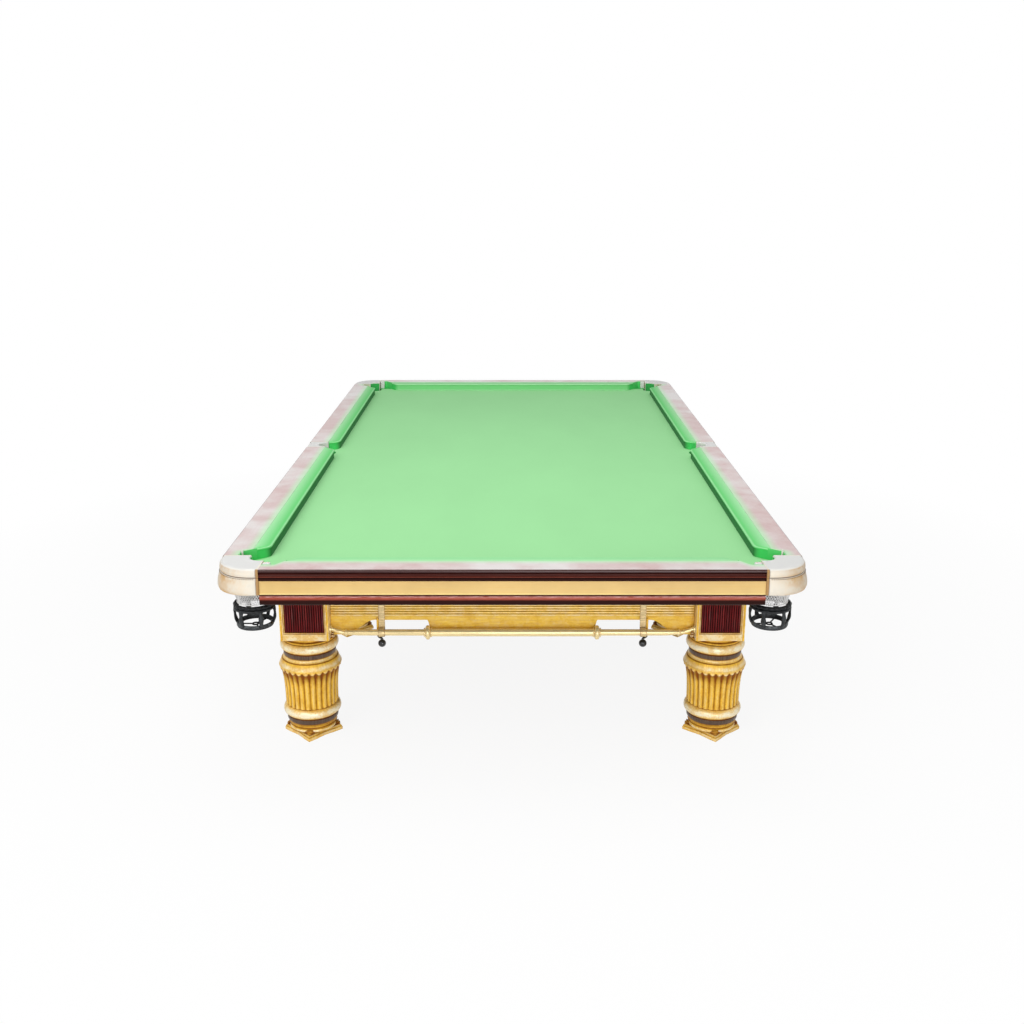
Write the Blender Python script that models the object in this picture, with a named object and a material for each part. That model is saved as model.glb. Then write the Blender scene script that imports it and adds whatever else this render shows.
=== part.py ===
"""Full-size snooker table on turned, fluted legs, built as separate solids in metres.

X runs across the table, Y along it and Z up. The origin is on the floor under the middle of the bed.
Places are measured from the cushion noses, because a table is set out from its playing area.
"""

import math

import bmesh
import bpy
from mathutils import Matrix, Vector

# Playing area and rails
PLAY_WIDTH = 1.778  # nose to nose, across
PLAY_LENGTH = 3.569  # nose to nose, along
RAIL_WIDTH = 0.152  # rail's outer face to the cushion nose
CUSHION_DEPTH = 0.056  # wood to the cushion nose
RAIL_TOP = 0.860
RAIL_TOP_ROUND = 0.008
CROWN_HEIGHT = 0.039  # dark moulding at the top of the rail's face
CROWN_GROOVE = 0.003
FASCIA_HEIGHT = 0.055
FASCIA_SET_IN = 0.003
BEAD_HEIGHT = 0.037
BEAD_DEPTH = 0.030
BEAD_PROUD = 0.004

# Bed
BED_DROP = 0.045  # rail top to the cloth
CLOTH_THICKNESS = 0.002
SLATE_THICKNESS = 0.045
SLATE_COUNT = 5
NOSE_DROP = 0.008  # rail top to the middle of the nose
NOSE_HEIGHT = 0.008

# Pockets
CORNER_REACH = 0.160  # rail's outer face to the end of the rail round the corner
CORNER_ROUND = 0.130
CORNER_SET_IN = 0.034  # rail's end to the pocket's centre
CORNER_POCKET_RADIUS = 0.042
CORNER_NET_SET_OUT = 0.012  # net's axis beyond the pocket's centre
MIDDLE_REACH = 0.061  # middle of the pocket to the rail's end
MIDDLE_SET_OUT = 0.061
MIDDLE_POCKET_RADIUS = 0.048
FALL_RADIUS = 0.050  # bite in the slate
JAW_ROUND = 0.035
JAW_ANGLE = math.radians(54)  # jaw's face to the run of the rail
JAW_FLARE = 0.040  # depth to which a corner's mouth cuts into the rail
JAW_NOTCH = 0.046  # length of that cut
LEATHER_FLARE = 0.014
LEATHER_ROLL = 0.012
NET_TOP_RADIUS = 0.082
NET_WAIST_RADIUS = 0.060
NET_WALL = 0.003
NET_HEIGHT = 0.060
BASKET_RADIUS = 0.0745
BASKET_WALL = 0.008
BASKET_HEIGHT = 0.078
BASKET_TAPER = 0.009
BASKET_RING = 0.016
BASKET_RIBS = 6
RIB_ANGLE = math.radians(22)
HUB_RADIUS = 0.018

# Legs
BLOCK_SIDE = 0.190
BLOCK_HEIGHT = 0.235
PANEL_STILE = 0.016
PANEL_SILL = 0.031
PANEL_SPLAY = 0.002
PANEL_RECESS = 0.008
PANEL_REEDS = 11
PANEL_GROOVE = 0.001  # shadow line round a panel
REED_RELIEF = 0.005
END_LEG_SET_IN = 0.4965  # rail's outer face to the axis of the end legs
MIDDLE_LEG_Y = 0.360
LEG_NECK_RADIUS = 0.090
UPPER_ROLL_RADIUS = 0.1155
UPPER_ROLL_HEIGHT = 0.0525
UPPER_BAND_RADIUS = 0.1023
UPPER_BAND_HEIGHT = 0.0275
KNOP_RADIUS = 0.1240
KNOP_HEIGHT = 0.058
KNOP_LIP = 0.006  # lip of the knop beyond the flutes
VASE_TOP_RADIUS = 0.1217
VASE_RADIUS = 0.109
FLUTES = 28
FLUTE_DEPTH = 0.006
LOWER_ROLL_RADIUS = 0.1145
LOWER_ROLL_HEIGHT = 0.034
LOWER_BAND_RADIUS = 0.100
LOWER_BAND_HEIGHT = 0.046
LEG_END = 0.048
LEG_END_RADIUS = 0.0957
STUD_RADIUS = 0.012
STUD_SIDES = 8
FOOT_SIDES = 16
STUD_LENGTH = 0.070
BORE_CLEARANCE = 0.0001
BORE_SPARE = 0.006

# Levelling feet
FOOT_SIDE = 0.165
FOOT_THICKNESS = 0.024
FOOT_CHAMFER = 0.006
FOOT_DRAW = 0.006  # sides drawn in between the corners
FOOT_RING_RADIUS = 0.094
FOOT_RING_ROUND = 0.004
FOOT_NECK_CLEARANCE = 0.004  # plinth's chamfer to the neck under the ring

# Frame and aprons
BEAM_WIDTH = 0.100
BEAM_HEIGHT = 0.107
BEAM_CLEARANCE = 0.008  # side beam to the middle pocket's net
BEAM_END_CLEARANCE = 0.020
APRON_FACE = 0.035  # leg axis to the apron's outer face
APRON_THICKNESS = 0.040
APRON_DROP = 0.170  # block's top to the straight lower edge
TABLET_DROP = 0.212
TABLET_HALF = 0.321
TABLET_EASE = 0.014
SPANDREL_DROP = 0.2315
SPANDREL_FOOT = 0.055
SPANDREL_RUN = 0.118
REED_DROP = 0.153  # block's top to the lowest reed
REED_HEIGHT = 0.0105
REED_COUNT = 8
REED_BASE = 0.003
REED_CROWN = 0.004

# Tie rails, their hangers and the rest hooks
ROD_RADIUS = 0.0125
ROD_MIDDLE_RADIUS = 0.0155
ROD_DROP = 0.213  # block's top to the rod's axis
ROD_END_GAP = 0.055  # block to the rod's end
ROD_TAPER = 0.055
ROD_END_RADIUS = 0.0085
ROD_SIDES = 8
COLLAR_OFFSET = 0.0105  # tablet's edge to the middle of the collar
COLLAR_RADIUS = 0.0285
COLLAR_WIDTH = 0.022
STRAP_SET_IN = 0.202  # leg block to the middle of the strap
STRAP_WIDTH = 0.021
STRAP_THICKNESS = 0.006
STRAP_RISE = 0.138  # rod's axis to the strap's top
EYE_OPENING = math.radians(50)
HOOK_RADIUS = 0.0045
HOOK_BALL = 0.0155
HOOK_SIDES = 8
HOOK_RISE = 0.053
HOOK_DROP = 0.045  # rod's axis to the ball's centre
HOOK_BEND = 0.008
HOOK_CLEARANCE = 0.001
BRACKET_RISE = 0.015
BRACKET_FLANGE = 0.016
BRACKET_NECK = 0.008

SEAT = 0.0003  # gap where two pieces rest on each other
WELD = 0.002  # depth to which shapes of one piece run into each other
ROUND_SIDES = 16

# Places worked out from the sizes above
HALF_WIDTH = PLAY_WIDTH / 2 + RAIL_WIDTH
HALF_LENGTH = PLAY_LENGTH / 2 + RAIL_WIDTH
WOOD_DEPTH = RAIL_WIDTH - CUSHION_DEPTH
BED_HALF_WIDTH = HALF_WIDTH - WOOD_DEPTH - SEAT
BED_HALF_LENGTH = HALF_LENGTH - WOOD_DEPTH - SEAT
BED_TOP = RAIL_TOP - BED_DROP
SLATE_TOP = BED_TOP - CLOTH_THICKNESS - SEAT
SLATE_BOTTOM = SLATE_TOP - SLATE_THICKNESS
CROWN_BOTTOM = RAIL_TOP - CROWN_HEIGHT
FASCIA_BOTTOM = CROWN_BOTTOM - FASCIA_HEIGHT
CORNER_POCKET_X = HALF_WIDTH - CORNER_REACH + CORNER_SET_IN
CORNER_POCKET_Y = HALF_LENGTH - CORNER_REACH + CORNER_SET_IN
CORNER_NET_X = CORNER_POCKET_X + CORNER_NET_SET_OUT
CORNER_NET_Y = CORNER_POCKET_Y + CORNER_NET_SET_OUT
JAW_START = JAW_NOTCH + JAW_FLARE / math.tan(JAW_ANGLE)
MIDDLE_POCKET_X = PLAY_WIDTH / 2 + MIDDLE_SET_OUT
LEG_X = MIDDLE_POCKET_X - NET_TOP_RADIUS - BEAM_CLEARANCE - BEAM_WIDTH / 2
LEG_ROWS = {
    "front": END_LEG_SET_IN - HALF_LENGTH,
    "mid_front": -MIDDLE_LEG_Y,
    "mid_rear": MIDDLE_LEG_Y,
    "rear": HALF_LENGTH - END_LEG_SET_IN,
}
SIDES = {"left": -1, "right": 1}
ENDS = {"front": -1, "rear": 1}
END_LEG_Y = LEG_ROWS["rear"]
BLOCK_HALF = BLOCK_SIDE / 2
BLOCK_TOP = SLATE_BOTTOM - BEAM_HEIGHT - 2 * SEAT
BLOCK_BOTTOM = BLOCK_TOP - BLOCK_HEIGHT
APRON_EDGE = BLOCK_TOP - APRON_DROP
TABLET_EDGE = BLOCK_TOP - TABLET_DROP
SPANDREL_EDGE = BLOCK_TOP - SPANDREL_DROP
REED_BOTTOM = BLOCK_TOP - REED_DROP
REED_DEPTH = REED_BASE + REED_CROWN
EYE_RADIUS = ROD_RADIUS - WELD + STRAP_THICKNESS / 2
STRAP_Y = END_LEG_Y + APRON_FACE + REED_DEPTH + SEAT + STRAP_THICKNESS / 2
ROD_Y = STRAP_Y + EYE_RADIUS
ROD_Z = BLOCK_TOP - ROD_DROP
ROD_END = LEG_X - BLOCK_HALF - ROD_END_GAP
COLLAR_X = TABLET_HALF + COLLAR_OFFSET
STRAP_X = LEG_X - BLOCK_HALF - STRAP_SET_IN
STRAP_TOP = ROD_Z + STRAP_RISE
HOOK_TOP = ROD_Z + HOOK_RISE

COLOURS = {
    "gold_lacquer": ((0.70, 0.42, 0.11), 0.32, 0.55),
    "rose_lacquer": ((0.62, 0.46, 0.45), 0.2, 0.0),
    "green_cloth": ((0.39, 0.78, 0.38), 0.9, 0.0),
    "slate": ((0.12, 0.13, 0.14), 0.7, 0.0),
    "frame_timber": ((0.33, 0.19, 0.09), 0.6, 0.0),
    "cream_leather": ((0.82, 0.77, 0.66), 0.5, 0.0),
    "black_basket": ((0.02, 0.02, 0.02), 0.45, 0.0),
    "polished_brass": ((0.85, 0.62, 0.25), 0.22, 1.0),
}


class Shape:
    """Points and faces of one solid."""

    def __init__(self):
        self.points = []
        self.faces = []

    def add(self, solid):
        points, faces = solid
        start = len(self.points)
        self.points.extend(Vector(p) for p in points)
        self.faces.extend([start + i for i in face] for face in faces)
        return self


def material(name):
    found = bpy.data.materials.get(name) or bpy.data.materials.new(name)
    colour, roughness, metallic = COLOURS[name]
    found.use_nodes = True
    shader = found.node_tree.nodes["Principled BSDF"]
    shader.inputs["Base Color"].default_value = (*colour, 1.0)
    shader.inputs["Roughness"].default_value = roughness
    shader.inputs["Metallic"].default_value = metallic
    found.diffuse_color = (*colour, 1.0)
    return found


def node(name, shape, finish, at=(0.0, 0.0, 0.0), recess=(), joined=(), cut=()):
    """Puts a shape into the scene as one named object, with further shapes joined to it or cut from it by Booleans."""
    mesh = bpy.data.meshes.new(name)
    mesh.from_pydata(shape.points, [], shape.faces)
    work = bmesh.new()
    work.from_mesh(mesh)
    bmesh.ops.recalc_face_normals(work, faces=work.faces)
    if recess:
        sunk = [f for f in work.faces if len(f.verts) == 4 and f.calc_center_median().z > BLOCK_BOTTOM]
        sunk = [f for f in sunk if any(f.normal.dot(Vector(n)) > 0.99 for n in recess)]
        bmesh.ops.inset_individual(work, faces=sunk, thickness=PANEL_STILE)
        for corner in {v for face in sunk for v in face.verts}:
            upper = corner.co.z > (BLOCK_TOP + BLOCK_BOTTOM) / 2
            corner.co.z = BLOCK_TOP - PANEL_SILL if upper else BLOCK_BOTTOM + PANEL_SILL
        bmesh.ops.inset_individual(work, faces=sunk, thickness=PANEL_SPLAY, depth=-PANEL_RECESS)
    work.to_mesh(mesh)
    work.free()
    mesh.shade_smooth()
    mesh.set_sharp_from_angle(angle=math.radians(35))
    mesh.materials.append(material(finish))
    piece = bpy.data.objects.new(name, mesh)
    piece.location = at
    bpy.context.collection.objects.link(piece)
    steps = [("UNION", part) for part in joined] + [("DIFFERENCE", part) for part in cut]
    for i, (operation, part) in enumerate(steps):
        guide = node(f"{name}_guide_{i + 1}", part, finish, at)
        guide.hide_render = True
        guide.display_type = "WIRE"
        boolean = piece.modifiers.new(f"{operation.lower()}_{i + 1}", "BOOLEAN")
        boolean.operation = operation
        boolean.object = guide
    return piece


def loft(sections):
    """Solid through closed sections of equal point counts, with flat ends."""
    count = len(sections[0])
    points = [p for section in sections for p in section]
    faces = []
    for level in range(len(sections) - 1):
        low = level * count
        for i in range(count):
            j = (i + 1) % count
            faces.append([low + i, low + j, low + count + j, low + count + i])
    faces.append(list(range(count))[::-1])
    faces.append(list(range(len(points) - count, len(points))))
    return points, faces


def prism(outline, travel):
    """Flat outline pushed along a straight line."""
    travel = Vector(travel)
    return loft([outline, [Vector(p) + travel for p in outline]])


def box(low, high):
    base = [(low[0], low[1]), (high[0], low[1]), (high[0], high[1]), (low[0], high[1])]
    return prism([(x, y, low[2]) for x, y in base], (0, 0, high[2] - low[2]))


def arc(centre, radius, start, end, steps):
    """Points of a flat arc from one angle to another."""
    angles = [start + (end - start) * i / steps for i in range(steps + 1)]
    return [(centre[0] + radius * math.cos(a), centre[1] + radius * math.sin(a)) for a in angles]


def wave(start, end, steps):
    """Ogee from one flat point to another, level at both ends: half a cosine."""
    points = []
    for i in range(steps + 1):
        t = i / steps
        rise = (1 - math.cos(math.pi * t)) / 2
        points.append((start[0] + (end[0] - start[0]) * t, start[1] + (end[1] - start[1]) * rise))
    return points


def ring(radius, z, sides=ROUND_SIDES):
    return [(2 * math.pi * i / sides, radius, z) for i in range(sides)]


def square(half_diagonal, z, turn):
    return [(turn + math.pi / 2 * i, half_diagonal, z) for i in range(4)]


def drawn_square(half_diagonal, z, draw):
    """Square with its corners on the axes, whose sides are drawn in at their middles."""
    loop = []
    for i in range(4):
        loop.append((math.pi / 2 * i, half_diagonal, z))
        loop.append((math.pi / 2 * (i + 0.5), half_diagonal / math.sqrt(2) - draw, z))
    return loop


def fluted(radius, z):
    """Ring of reeds: the radius drops by the flute's depth between one crest and the next."""
    loop = []
    for i in range(2 * FLUTES):
        loop.append((math.pi * i / FLUTES, radius - FLUTE_DEPTH * (i % 2), z))
    return loop


def turned(levels):
    """Solid through loops of (angle, radius, z) round one axis, each with its own count of points."""
    points = []
    faces = []
    starts = []
    for loop in levels:
        starts.append(len(points))
        points.extend((r * math.cos(a), r * math.sin(a), z) for a, r, z in loop)
    for k in range(len(levels) - 1):
        faces.extend(zipped(levels[k], starts[k], levels[k + 1], starts[k + 1]))
    faces.append(list(range(len(levels[0]))))
    faces.append(list(range(starts[-1], len(points)))[::-1])
    return points, faces


def zipped(upper, upper_start, lower, lower_start):
    """Faces between two loops: quads where the counts agree, otherwise a zip by the edges' middle angles."""
    n, m = len(upper), len(lower)
    if n == m:
        return [
            [upper_start + i, upper_start + (i + 1) % n, lower_start + (i + 1) % n, lower_start + i]
            for i in range(n)
        ]

    def middle(loop, i):
        count = len(loop)
        here = loop[i % count][0] + 2 * math.pi * (i // count)
        after = loop[(i + 1) % count][0] + 2 * math.pi * ((i + 1) // count)
        return (here + after) / 2

    faces = []
    i = j = 0
    while i < n or j < m:
        if j == m or (i < n and middle(upper, i) <= middle(lower, j)):
            faces.append([upper_start + i % n, upper_start + (i + 1) % n, lower_start + j % m])
            i += 1
        else:
            faces.append([upper_start + i % n, lower_start + (j + 1) % m, lower_start + j % m])
            j += 1
    return faces


def tube(path, radii, sides):
    """Round bar along a path, its radius given at each point."""
    path = [Vector(p) for p in path]
    sections = []
    side = None
    for i, here in enumerate(path):
        before = path[max(i - 1, 0)]
        after = path[min(i + 1, len(path) - 1)]
        along = (after - before).normalized()
        if side is None:
            side = along.orthogonal().normalized()
        side = (side - along * side.dot(along)).normalized()
        across = along.cross(side)
        turn = [2 * math.pi * k / sides for k in range(sides)]
        sections.append([here + radii[i] * (math.cos(a) * side + math.sin(a) * across) for a in turn])
    return loft(sections)


def cage(outer, inner, angles, keep):
    """Walled shell round an axis, open at its first level: (radius, z) by level, keep says which cells are solid."""
    cells = len(angles)
    levels = len(outer)
    points = []
    for wall in (outer, inner):
        for radius, z in wall:
            points.extend((radius * math.cos(a), radius * math.sin(a), z) for a in angles)

    def at(wall, level, cell):
        return (wall * levels + level) * cells + cell % cells

    def solid(level, cell):
        return 0 <= level < levels - 1 and keep(level, cell % cells)

    faces = []
    for level in range(levels - 1):
        for cell in range(cells):
            if not solid(level, cell):
                continue
            for wall in (0, 1):
                corners = ((level, cell), (level, cell + 1), (level + 1, cell + 1), (level + 1, cell))
                faces.append([at(wall, *c) for c in corners])
            borders = [
                (solid(level - 1, cell), (level, cell), (level, cell + 1)),
                (solid(level + 1, cell), (level + 1, cell), (level + 1, cell + 1)),
                (solid(level, cell - 1), (level, cell), (level + 1, cell)),
                (solid(level, cell + 1), (level, cell + 1), (level + 1, cell + 1)),
            ]
            for joined, a, b in borders:
                at_hub = a[0] == b[0] == levels - 1
                if not joined and not at_hub:
                    faces.append([at(0, *a), at(0, *b), at(1, *b), at(1, *a)])
    hub = levels - 1
    for wall in (0, 1):
        faces.append([at(wall, hub, cell) for cell in range(cells)])
    for cell in range(cells):
        if not solid(hub - 1, cell):
            faces.append([at(0, hub, cell), at(0, hub, cell + 1), at(1, hub, cell + 1), at(1, hub, cell)])
    used = sorted({i for face in faces for i in face})
    place = {i: k for k, i in enumerate(used)}
    return [points[i] for i in used], [[place[i] for i in face] for face in faces]


def rail_runs():
    """Each rail by name: its two ends along the rail, which pocket each end meets, and its place in the table."""
    runs = {}
    end_reach = HALF_WIDTH - CORNER_REACH - SEAT
    for end, way in ENDS.items():
        def across(u, s, z, way=way):
            return Vector((s, way * (HALF_LENGTH - u), z))
        runs[end] = ((-end_reach, "corner"), (end_reach, "corner"), across)
    side_reach = HALF_LENGTH - CORNER_REACH - SEAT
    middle = MIDDLE_REACH + SEAT
    for side, way in SIDES.items():
        def along(u, s, z, way=way):
            return Vector((way * (HALF_WIDTH - u), s, z))
        runs[side + "_front"] = ((-side_reach, "corner"), (-middle, "middle"), along)
        runs[side + "_rear"] = ((middle, "middle"), (side_reach, "corner"), along)
    return runs


def straight_run(section, run):
    """Section of (depth from the outer face, height) carried from one end of a rail to the other."""
    (start, _), (end, _), place = run
    return loft([[place(u, s, z) for u, z in section] for s in (start, end)])


def rail_section():
    """Built-up rail: rounded top edge, grooved crown, flat fascia, and a half-round bead along the bottom."""
    top_edge = arc((RAIL_TOP_ROUND, RAIL_TOP - RAIL_TOP_ROUND), RAIL_TOP_ROUND, math.pi / 2, math.pi, 3)
    groove = RAIL_TOP - CROWN_HEIGHT / 2
    crown = [
        (0.0, groove + 2 * CROWN_GROOVE),
        (CROWN_GROOVE, groove + CROWN_GROOVE),
        (CROWN_GROOVE, groove - CROWN_GROOVE),
        (0.0, groove - 2 * CROWN_GROOVE),
        (0.0, CROWN_BOTTOM + CROWN_GROOVE),
        (FASCIA_SET_IN, CROWN_BOTTOM),
    ]
    radius = BEAD_HEIGHT / 2
    reach = BEAD_PROUD + FASCIA_SET_IN
    half_round = arc((0.0, 0.0), 1.0, math.pi / 2, 3 * math.pi / 2, 6)
    bead = [(FASCIA_SET_IN + reach * c, FASCIA_BOTTOM - radius + radius * s) for c, s in half_round]
    back = [
        (BEAD_DEPTH, FASCIA_BOTTOM - BEAD_HEIGHT),
        (BEAD_DEPTH, FASCIA_BOTTOM),
        (WOOD_DEPTH, FASCIA_BOTTOM),
        (WOOD_DEPTH, RAIL_TOP),
    ]
    return top_edge + crown + bead + back


def jaw(kind):
    """How a cushion runs into a pocket: (distance short of the rail's end, depth from the wood) by station."""
    tip = CUSHION_DEPTH / 12
    if kind == "corner":
        tangent = JAW_ROUND * math.tan(JAW_ANGLE / 2)
        centre = (JAW_START + CUSHION_DEPTH / math.tan(JAW_ANGLE) + tangent, CUSHION_DEPTH - JAW_ROUND)
        turn = arc(centre, JAW_ROUND, math.pi / 2 + JAW_ANGLE, math.pi / 2, 4)
        return [(JAW_START + tip / math.tan(JAW_ANGLE), tip)] + turn
    return [(0.0, tip)] + arc((CUSHION_DEPTH, 0.0), CUSHION_DEPTH, math.pi - 0.35, math.pi / 2, 5)


def cushion_section(depth):
    """Cushion by its depth from the wood: a top that falls to the nose, and an undercut face."""
    top = RAIL_TOP - SEAT
    nose = RAIL_TOP - NOSE_DROP
    foot = BED_TOP + SEAT
    return [
        (SEAT, top),
        (depth * 0.6, top - (top - nose - NOSE_HEIGHT / 2) * 0.35),
        (depth, nose + NOSE_HEIGHT / 2),
        (depth, nose - NOSE_HEIGHT / 2),
        (depth * 0.55, foot),
        (SEAT, foot),
    ]


def cushion(run):
    (start, start_kind), (end, end_kind), place = run
    stations = [(start + s, d) for s, d in jaw(start_kind)]
    stations += [(end - s, d) for s, d in reversed(jaw(end_kind))]
    sections = []
    for s, depth in stations:
        sections.append([place(WOOD_DEPTH + d, s, z) for d, z in cushion_section(depth)])
    return loft(sections)


def pocket_mouths(run):
    """What a corner pocket's flared mouth takes out of the ends of a rail, down to the level of the bed."""
    first, last, place = run
    mouths = []
    for (end, kind), way in ((first, 1), (last, -1)):
        if kind == "corner":
            outline = [
                (WOOD_DEPTH - JAW_FLARE, -WELD),
                (WOOD_DEPTH - JAW_FLARE, JAW_NOTCH),
                (WOOD_DEPTH, JAW_START),
                (WOOD_DEPTH + WELD, JAW_START + WELD),
                (WOOD_DEPTH + WELD, -WELD),
            ]
            base = [place(u, end + way * s, BED_TOP) for u, s in outline]
            mouths.append(Shape().add(prism(base, (0, 0, BED_DROP + WELD))))
    return mouths


def build_rails():
    for name, run in rail_runs().items():
        wood = Shape().add(straight_run(rail_section(), run))
        node("cushion_rail_" + name, wood, "rose_lacquer", cut=pocket_mouths(run))
        node("cushion_" + name, Shape().add(cushion(run)), "green_cloth")


def bed_edge(low, high):
    """Right edge of the bed from one Y to another, bitten by the pockets that it meets."""
    edge = []
    inset_x = BED_HALF_WIDTH - CORNER_POCKET_X
    inset_y = BED_HALF_LENGTH - CORNER_POCKET_Y
    first = math.pi + math.asin(inset_y / FALL_RADIUS)
    last = math.acos(inset_x / FALL_RADIUS)
    corner = arc((CORNER_POCKET_X, -CORNER_POCKET_Y), FALL_RADIUS, first, last, 8)
    if low <= -BED_HALF_LENGTH:
        edge += corner
    else:
        edge.append((BED_HALF_WIDTH, low))
    if low < 0 < high:
        half = math.acos((BED_HALF_WIDTH - MIDDLE_POCKET_X) / FALL_RADIUS)
        edge += arc((MIDDLE_POCKET_X, 0.0), FALL_RADIUS, 2 * math.pi - half, half, 10)
    if high >= BED_HALF_LENGTH:
        edge += [(x, -y) for x, y in reversed(corner)]
    else:
        edge.append((BED_HALF_WIDTH, high))
    return edge


def bed_plate(low, high, bottom, top):
    right = bed_edge(low, high)
    outline = right + [(-x, y) for x, y in reversed(right)]
    return prism([(x, y, bottom) for x, y in outline], (0, 0, top - bottom))


def build_bed():
    step = 2 * BED_HALF_LENGTH / SLATE_COUNT
    for i in range(SLATE_COUNT):
        low = -BED_HALF_LENGTH + i * step + (SEAT / 2 if i else 0.0)
        high = -BED_HALF_LENGTH + (i + 1) * step - (SEAT / 2 if i < SLATE_COUNT - 1 else -SEAT)
        node(f"slate_{i + 1}", Shape().add(bed_plate(low, min(high, BED_HALF_LENGTH), SLATE_BOTTOM, SLATE_TOP)), "slate")
    sheet = bed_plate(-BED_HALF_LENGTH, BED_HALF_LENGTH, SLATE_TOP + SEAT, BED_TOP)
    node("bed_cloth", Shape().add(sheet), "green_cloth")


def leather_section(inner, outer, swell):
    """Leather over the pocket iron: flat top, rolled edge, a seam line and a skirt that flares, then curls in."""
    inner = Vector((*inner, 0.0))
    outer = Vector((*outer, 0.0))
    way = (outer - inner).normalized()
    flare = LEATHER_FLARE * swell
    low = FASCIA_BOTTOM + SEAT
    seam = CROWN_BOTTOM
    drop = seam - low
    outline = [
        (outer, -LEATHER_ROLL, RAIL_TOP),
        (outer, -LEATHER_ROLL / 4, RAIL_TOP - LEATHER_ROLL / 4),
        (outer, 0.0, RAIL_TOP - LEATHER_ROLL),
        (outer, 0.0, seam),
        (outer, flare * 0.65, low + drop * 0.55),
        (outer, flare, low + drop * 0.25),
        (outer, flare * 0.7, low + drop * 0.05),
        (outer, -LEATHER_ROLL / 4, low),
        (inner, 0.0, low),
        (inner, 0.0, RAIL_TOP - LEATHER_ROLL / 3),
        (inner, LEATHER_ROLL / 3, RAIL_TOP),
    ]
    return [edge + way * out + Vector((0, 0, z)) for edge, out, z in outline]


def along_path(path, count):
    """Points at equal steps along a flat path."""
    path = [Vector(p) for p in path]
    runs = [(b - a).length for a, b in zip(path, path[1:])]
    total = sum(runs)
    found = []
    for k in range(count):
        left = total * k / (count - 1)
        for a, b, run in zip(path, path[1:], runs):
            if left <= run or b is path[-1]:
                found.append(a.lerp(b, min(left / run, 1.0)))
                break
            left -= run
    return found


def leather(inner_path, outer_path, sections):
    inner = along_path(inner_path, sections)
    outer = along_path(outer_path, sections)
    rings = []
    for k in range(sections):
        swell = math.sin(math.pi * k / (sections - 1)) ** 0.6 if 0 < k < sections - 1 else 0.0
        rings.append(leather_section(inner[k], outer[k], swell))
    return rings


def corner_leather(x_way, y_way):
    """Leather between the end of a side rail and the end of an end rail, round the corner of the table."""
    reach_x = HALF_WIDTH - CORNER_REACH
    reach_y = HALF_LENGTH - CORNER_REACH
    dx = CORNER_POCKET_X - reach_x
    dy = CORNER_POCKET_Y - reach_y
    first = math.pi - math.acos(dx / CORNER_POCKET_RADIUS)
    last = -math.asin(dy / CORNER_POCKET_RADIUS)
    hole = arc((CORNER_POCKET_X, CORNER_POCKET_Y), CORNER_POCKET_RADIUS, first, last, 28)
    centre = (HALF_WIDTH - CORNER_ROUND, HALF_LENGTH - CORNER_ROUND)
    bend = arc(centre, CORNER_ROUND, math.pi / 2, 0.0, 24)
    rim = [(reach_x, HALF_LENGTH)] + bend + [(HALF_WIDTH, reach_y)]
    place = Matrix.Diagonal((x_way, y_way, 1))
    return loft([[place @ p for p in section] for section in leather(hole, rim, 12)])


def middle_leather(x_way):
    back = HALF_WIDTH - WOOD_DEPTH
    half = math.pi - math.acos((MIDDLE_POCKET_X - back) / MIDDLE_POCKET_RADIUS)
    bowl = arc((MIDDLE_POCKET_X, 0.0), MIDDLE_POCKET_RADIUS, -half, half, 20)
    hole = [(back, -MIDDLE_REACH)] + bowl + [(back, MIDDLE_REACH)]
    rim = [(HALF_WIDTH, -MIDDLE_REACH), (HALF_WIDTH, MIDDLE_REACH)]
    place = Matrix.Diagonal((x_way, 1, 1))
    return loft([[place @ p for p in section] for section in leather(hole, rim, 9)])


def pocket_net():
    """Net sleeve laced to an open ball basket: in to a waist, out to a ring, ribs to a lower ring, and on to a hub."""
    top = FASCIA_BOTTOM - SEAT
    waist = top - NET_HEIGHT
    rim = waist - BASKET_RING
    low = rim - BASKET_HEIGHT
    floor = low + BASKET_WALL
    slope = BASKET_TAPER / BASKET_HEIGHT
    lower_radius = BASKET_RADIUS - BASKET_TAPER
    outer = [
        (NET_TOP_RADIUS, top),
        (NET_WAIST_RADIUS, waist),
        (BASKET_RADIUS, rim),
        (BASKET_RADIUS - slope * BASKET_RING, rim - BASKET_RING),
        (lower_radius + slope * BASKET_RING, low + BASKET_RING),
        (lower_radius, low),
        (lower_radius - BASKET_RING, low),
        (HUB_RADIUS, low),
    ]
    inner = [
        (NET_TOP_RADIUS - NET_WALL, top),
        (NET_WAIST_RADIUS - NET_WALL, waist),
        (BASKET_RADIUS - BASKET_WALL, rim),
        (outer[3][0] - BASKET_WALL, outer[3][1]),
        (outer[4][0] - BASKET_WALL, outer[4][1]),
        (lower_radius - BASKET_WALL, floor + BASKET_WALL / 4),
        (lower_radius - BASKET_RING, floor),
        (HUB_RADIUS, floor),
    ]
    step = 2 * math.pi / BASKET_RIBS
    angles = []
    for i in range(BASKET_RIBS):
        angles += [i * step - RIB_ANGLE / 2, i * step + RIB_ANGLE / 2]

    def keep(level, cell):
        if level == 3:
            return cell % 2 == 0
        return level != 6 or cell % 4 == 0

    return cage(outer, inner, angles, keep)


def build_pockets():
    for side, x_way in SIDES.items():
        places = {end: (x_way * CORNER_NET_X, y_way * CORNER_NET_Y) for end, y_way in ENDS.items()}
        places["middle"] = (x_way * MIDDLE_POCKET_X, 0.0)
        for end, (x, y) in places.items():
            cover = corner_leather(x_way, ENDS[end]) if end in ENDS else middle_leather(x_way)
            node(f"pocket_leather_{end}_{side}", Shape().add(cover), "cream_leather")
            node(f"pocket_net_{end}_{side}", Shape().add(pocket_net()), "black_basket", (x, y, 0.0))


def between(low, high, share):
    return low + (high - low) * share


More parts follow.
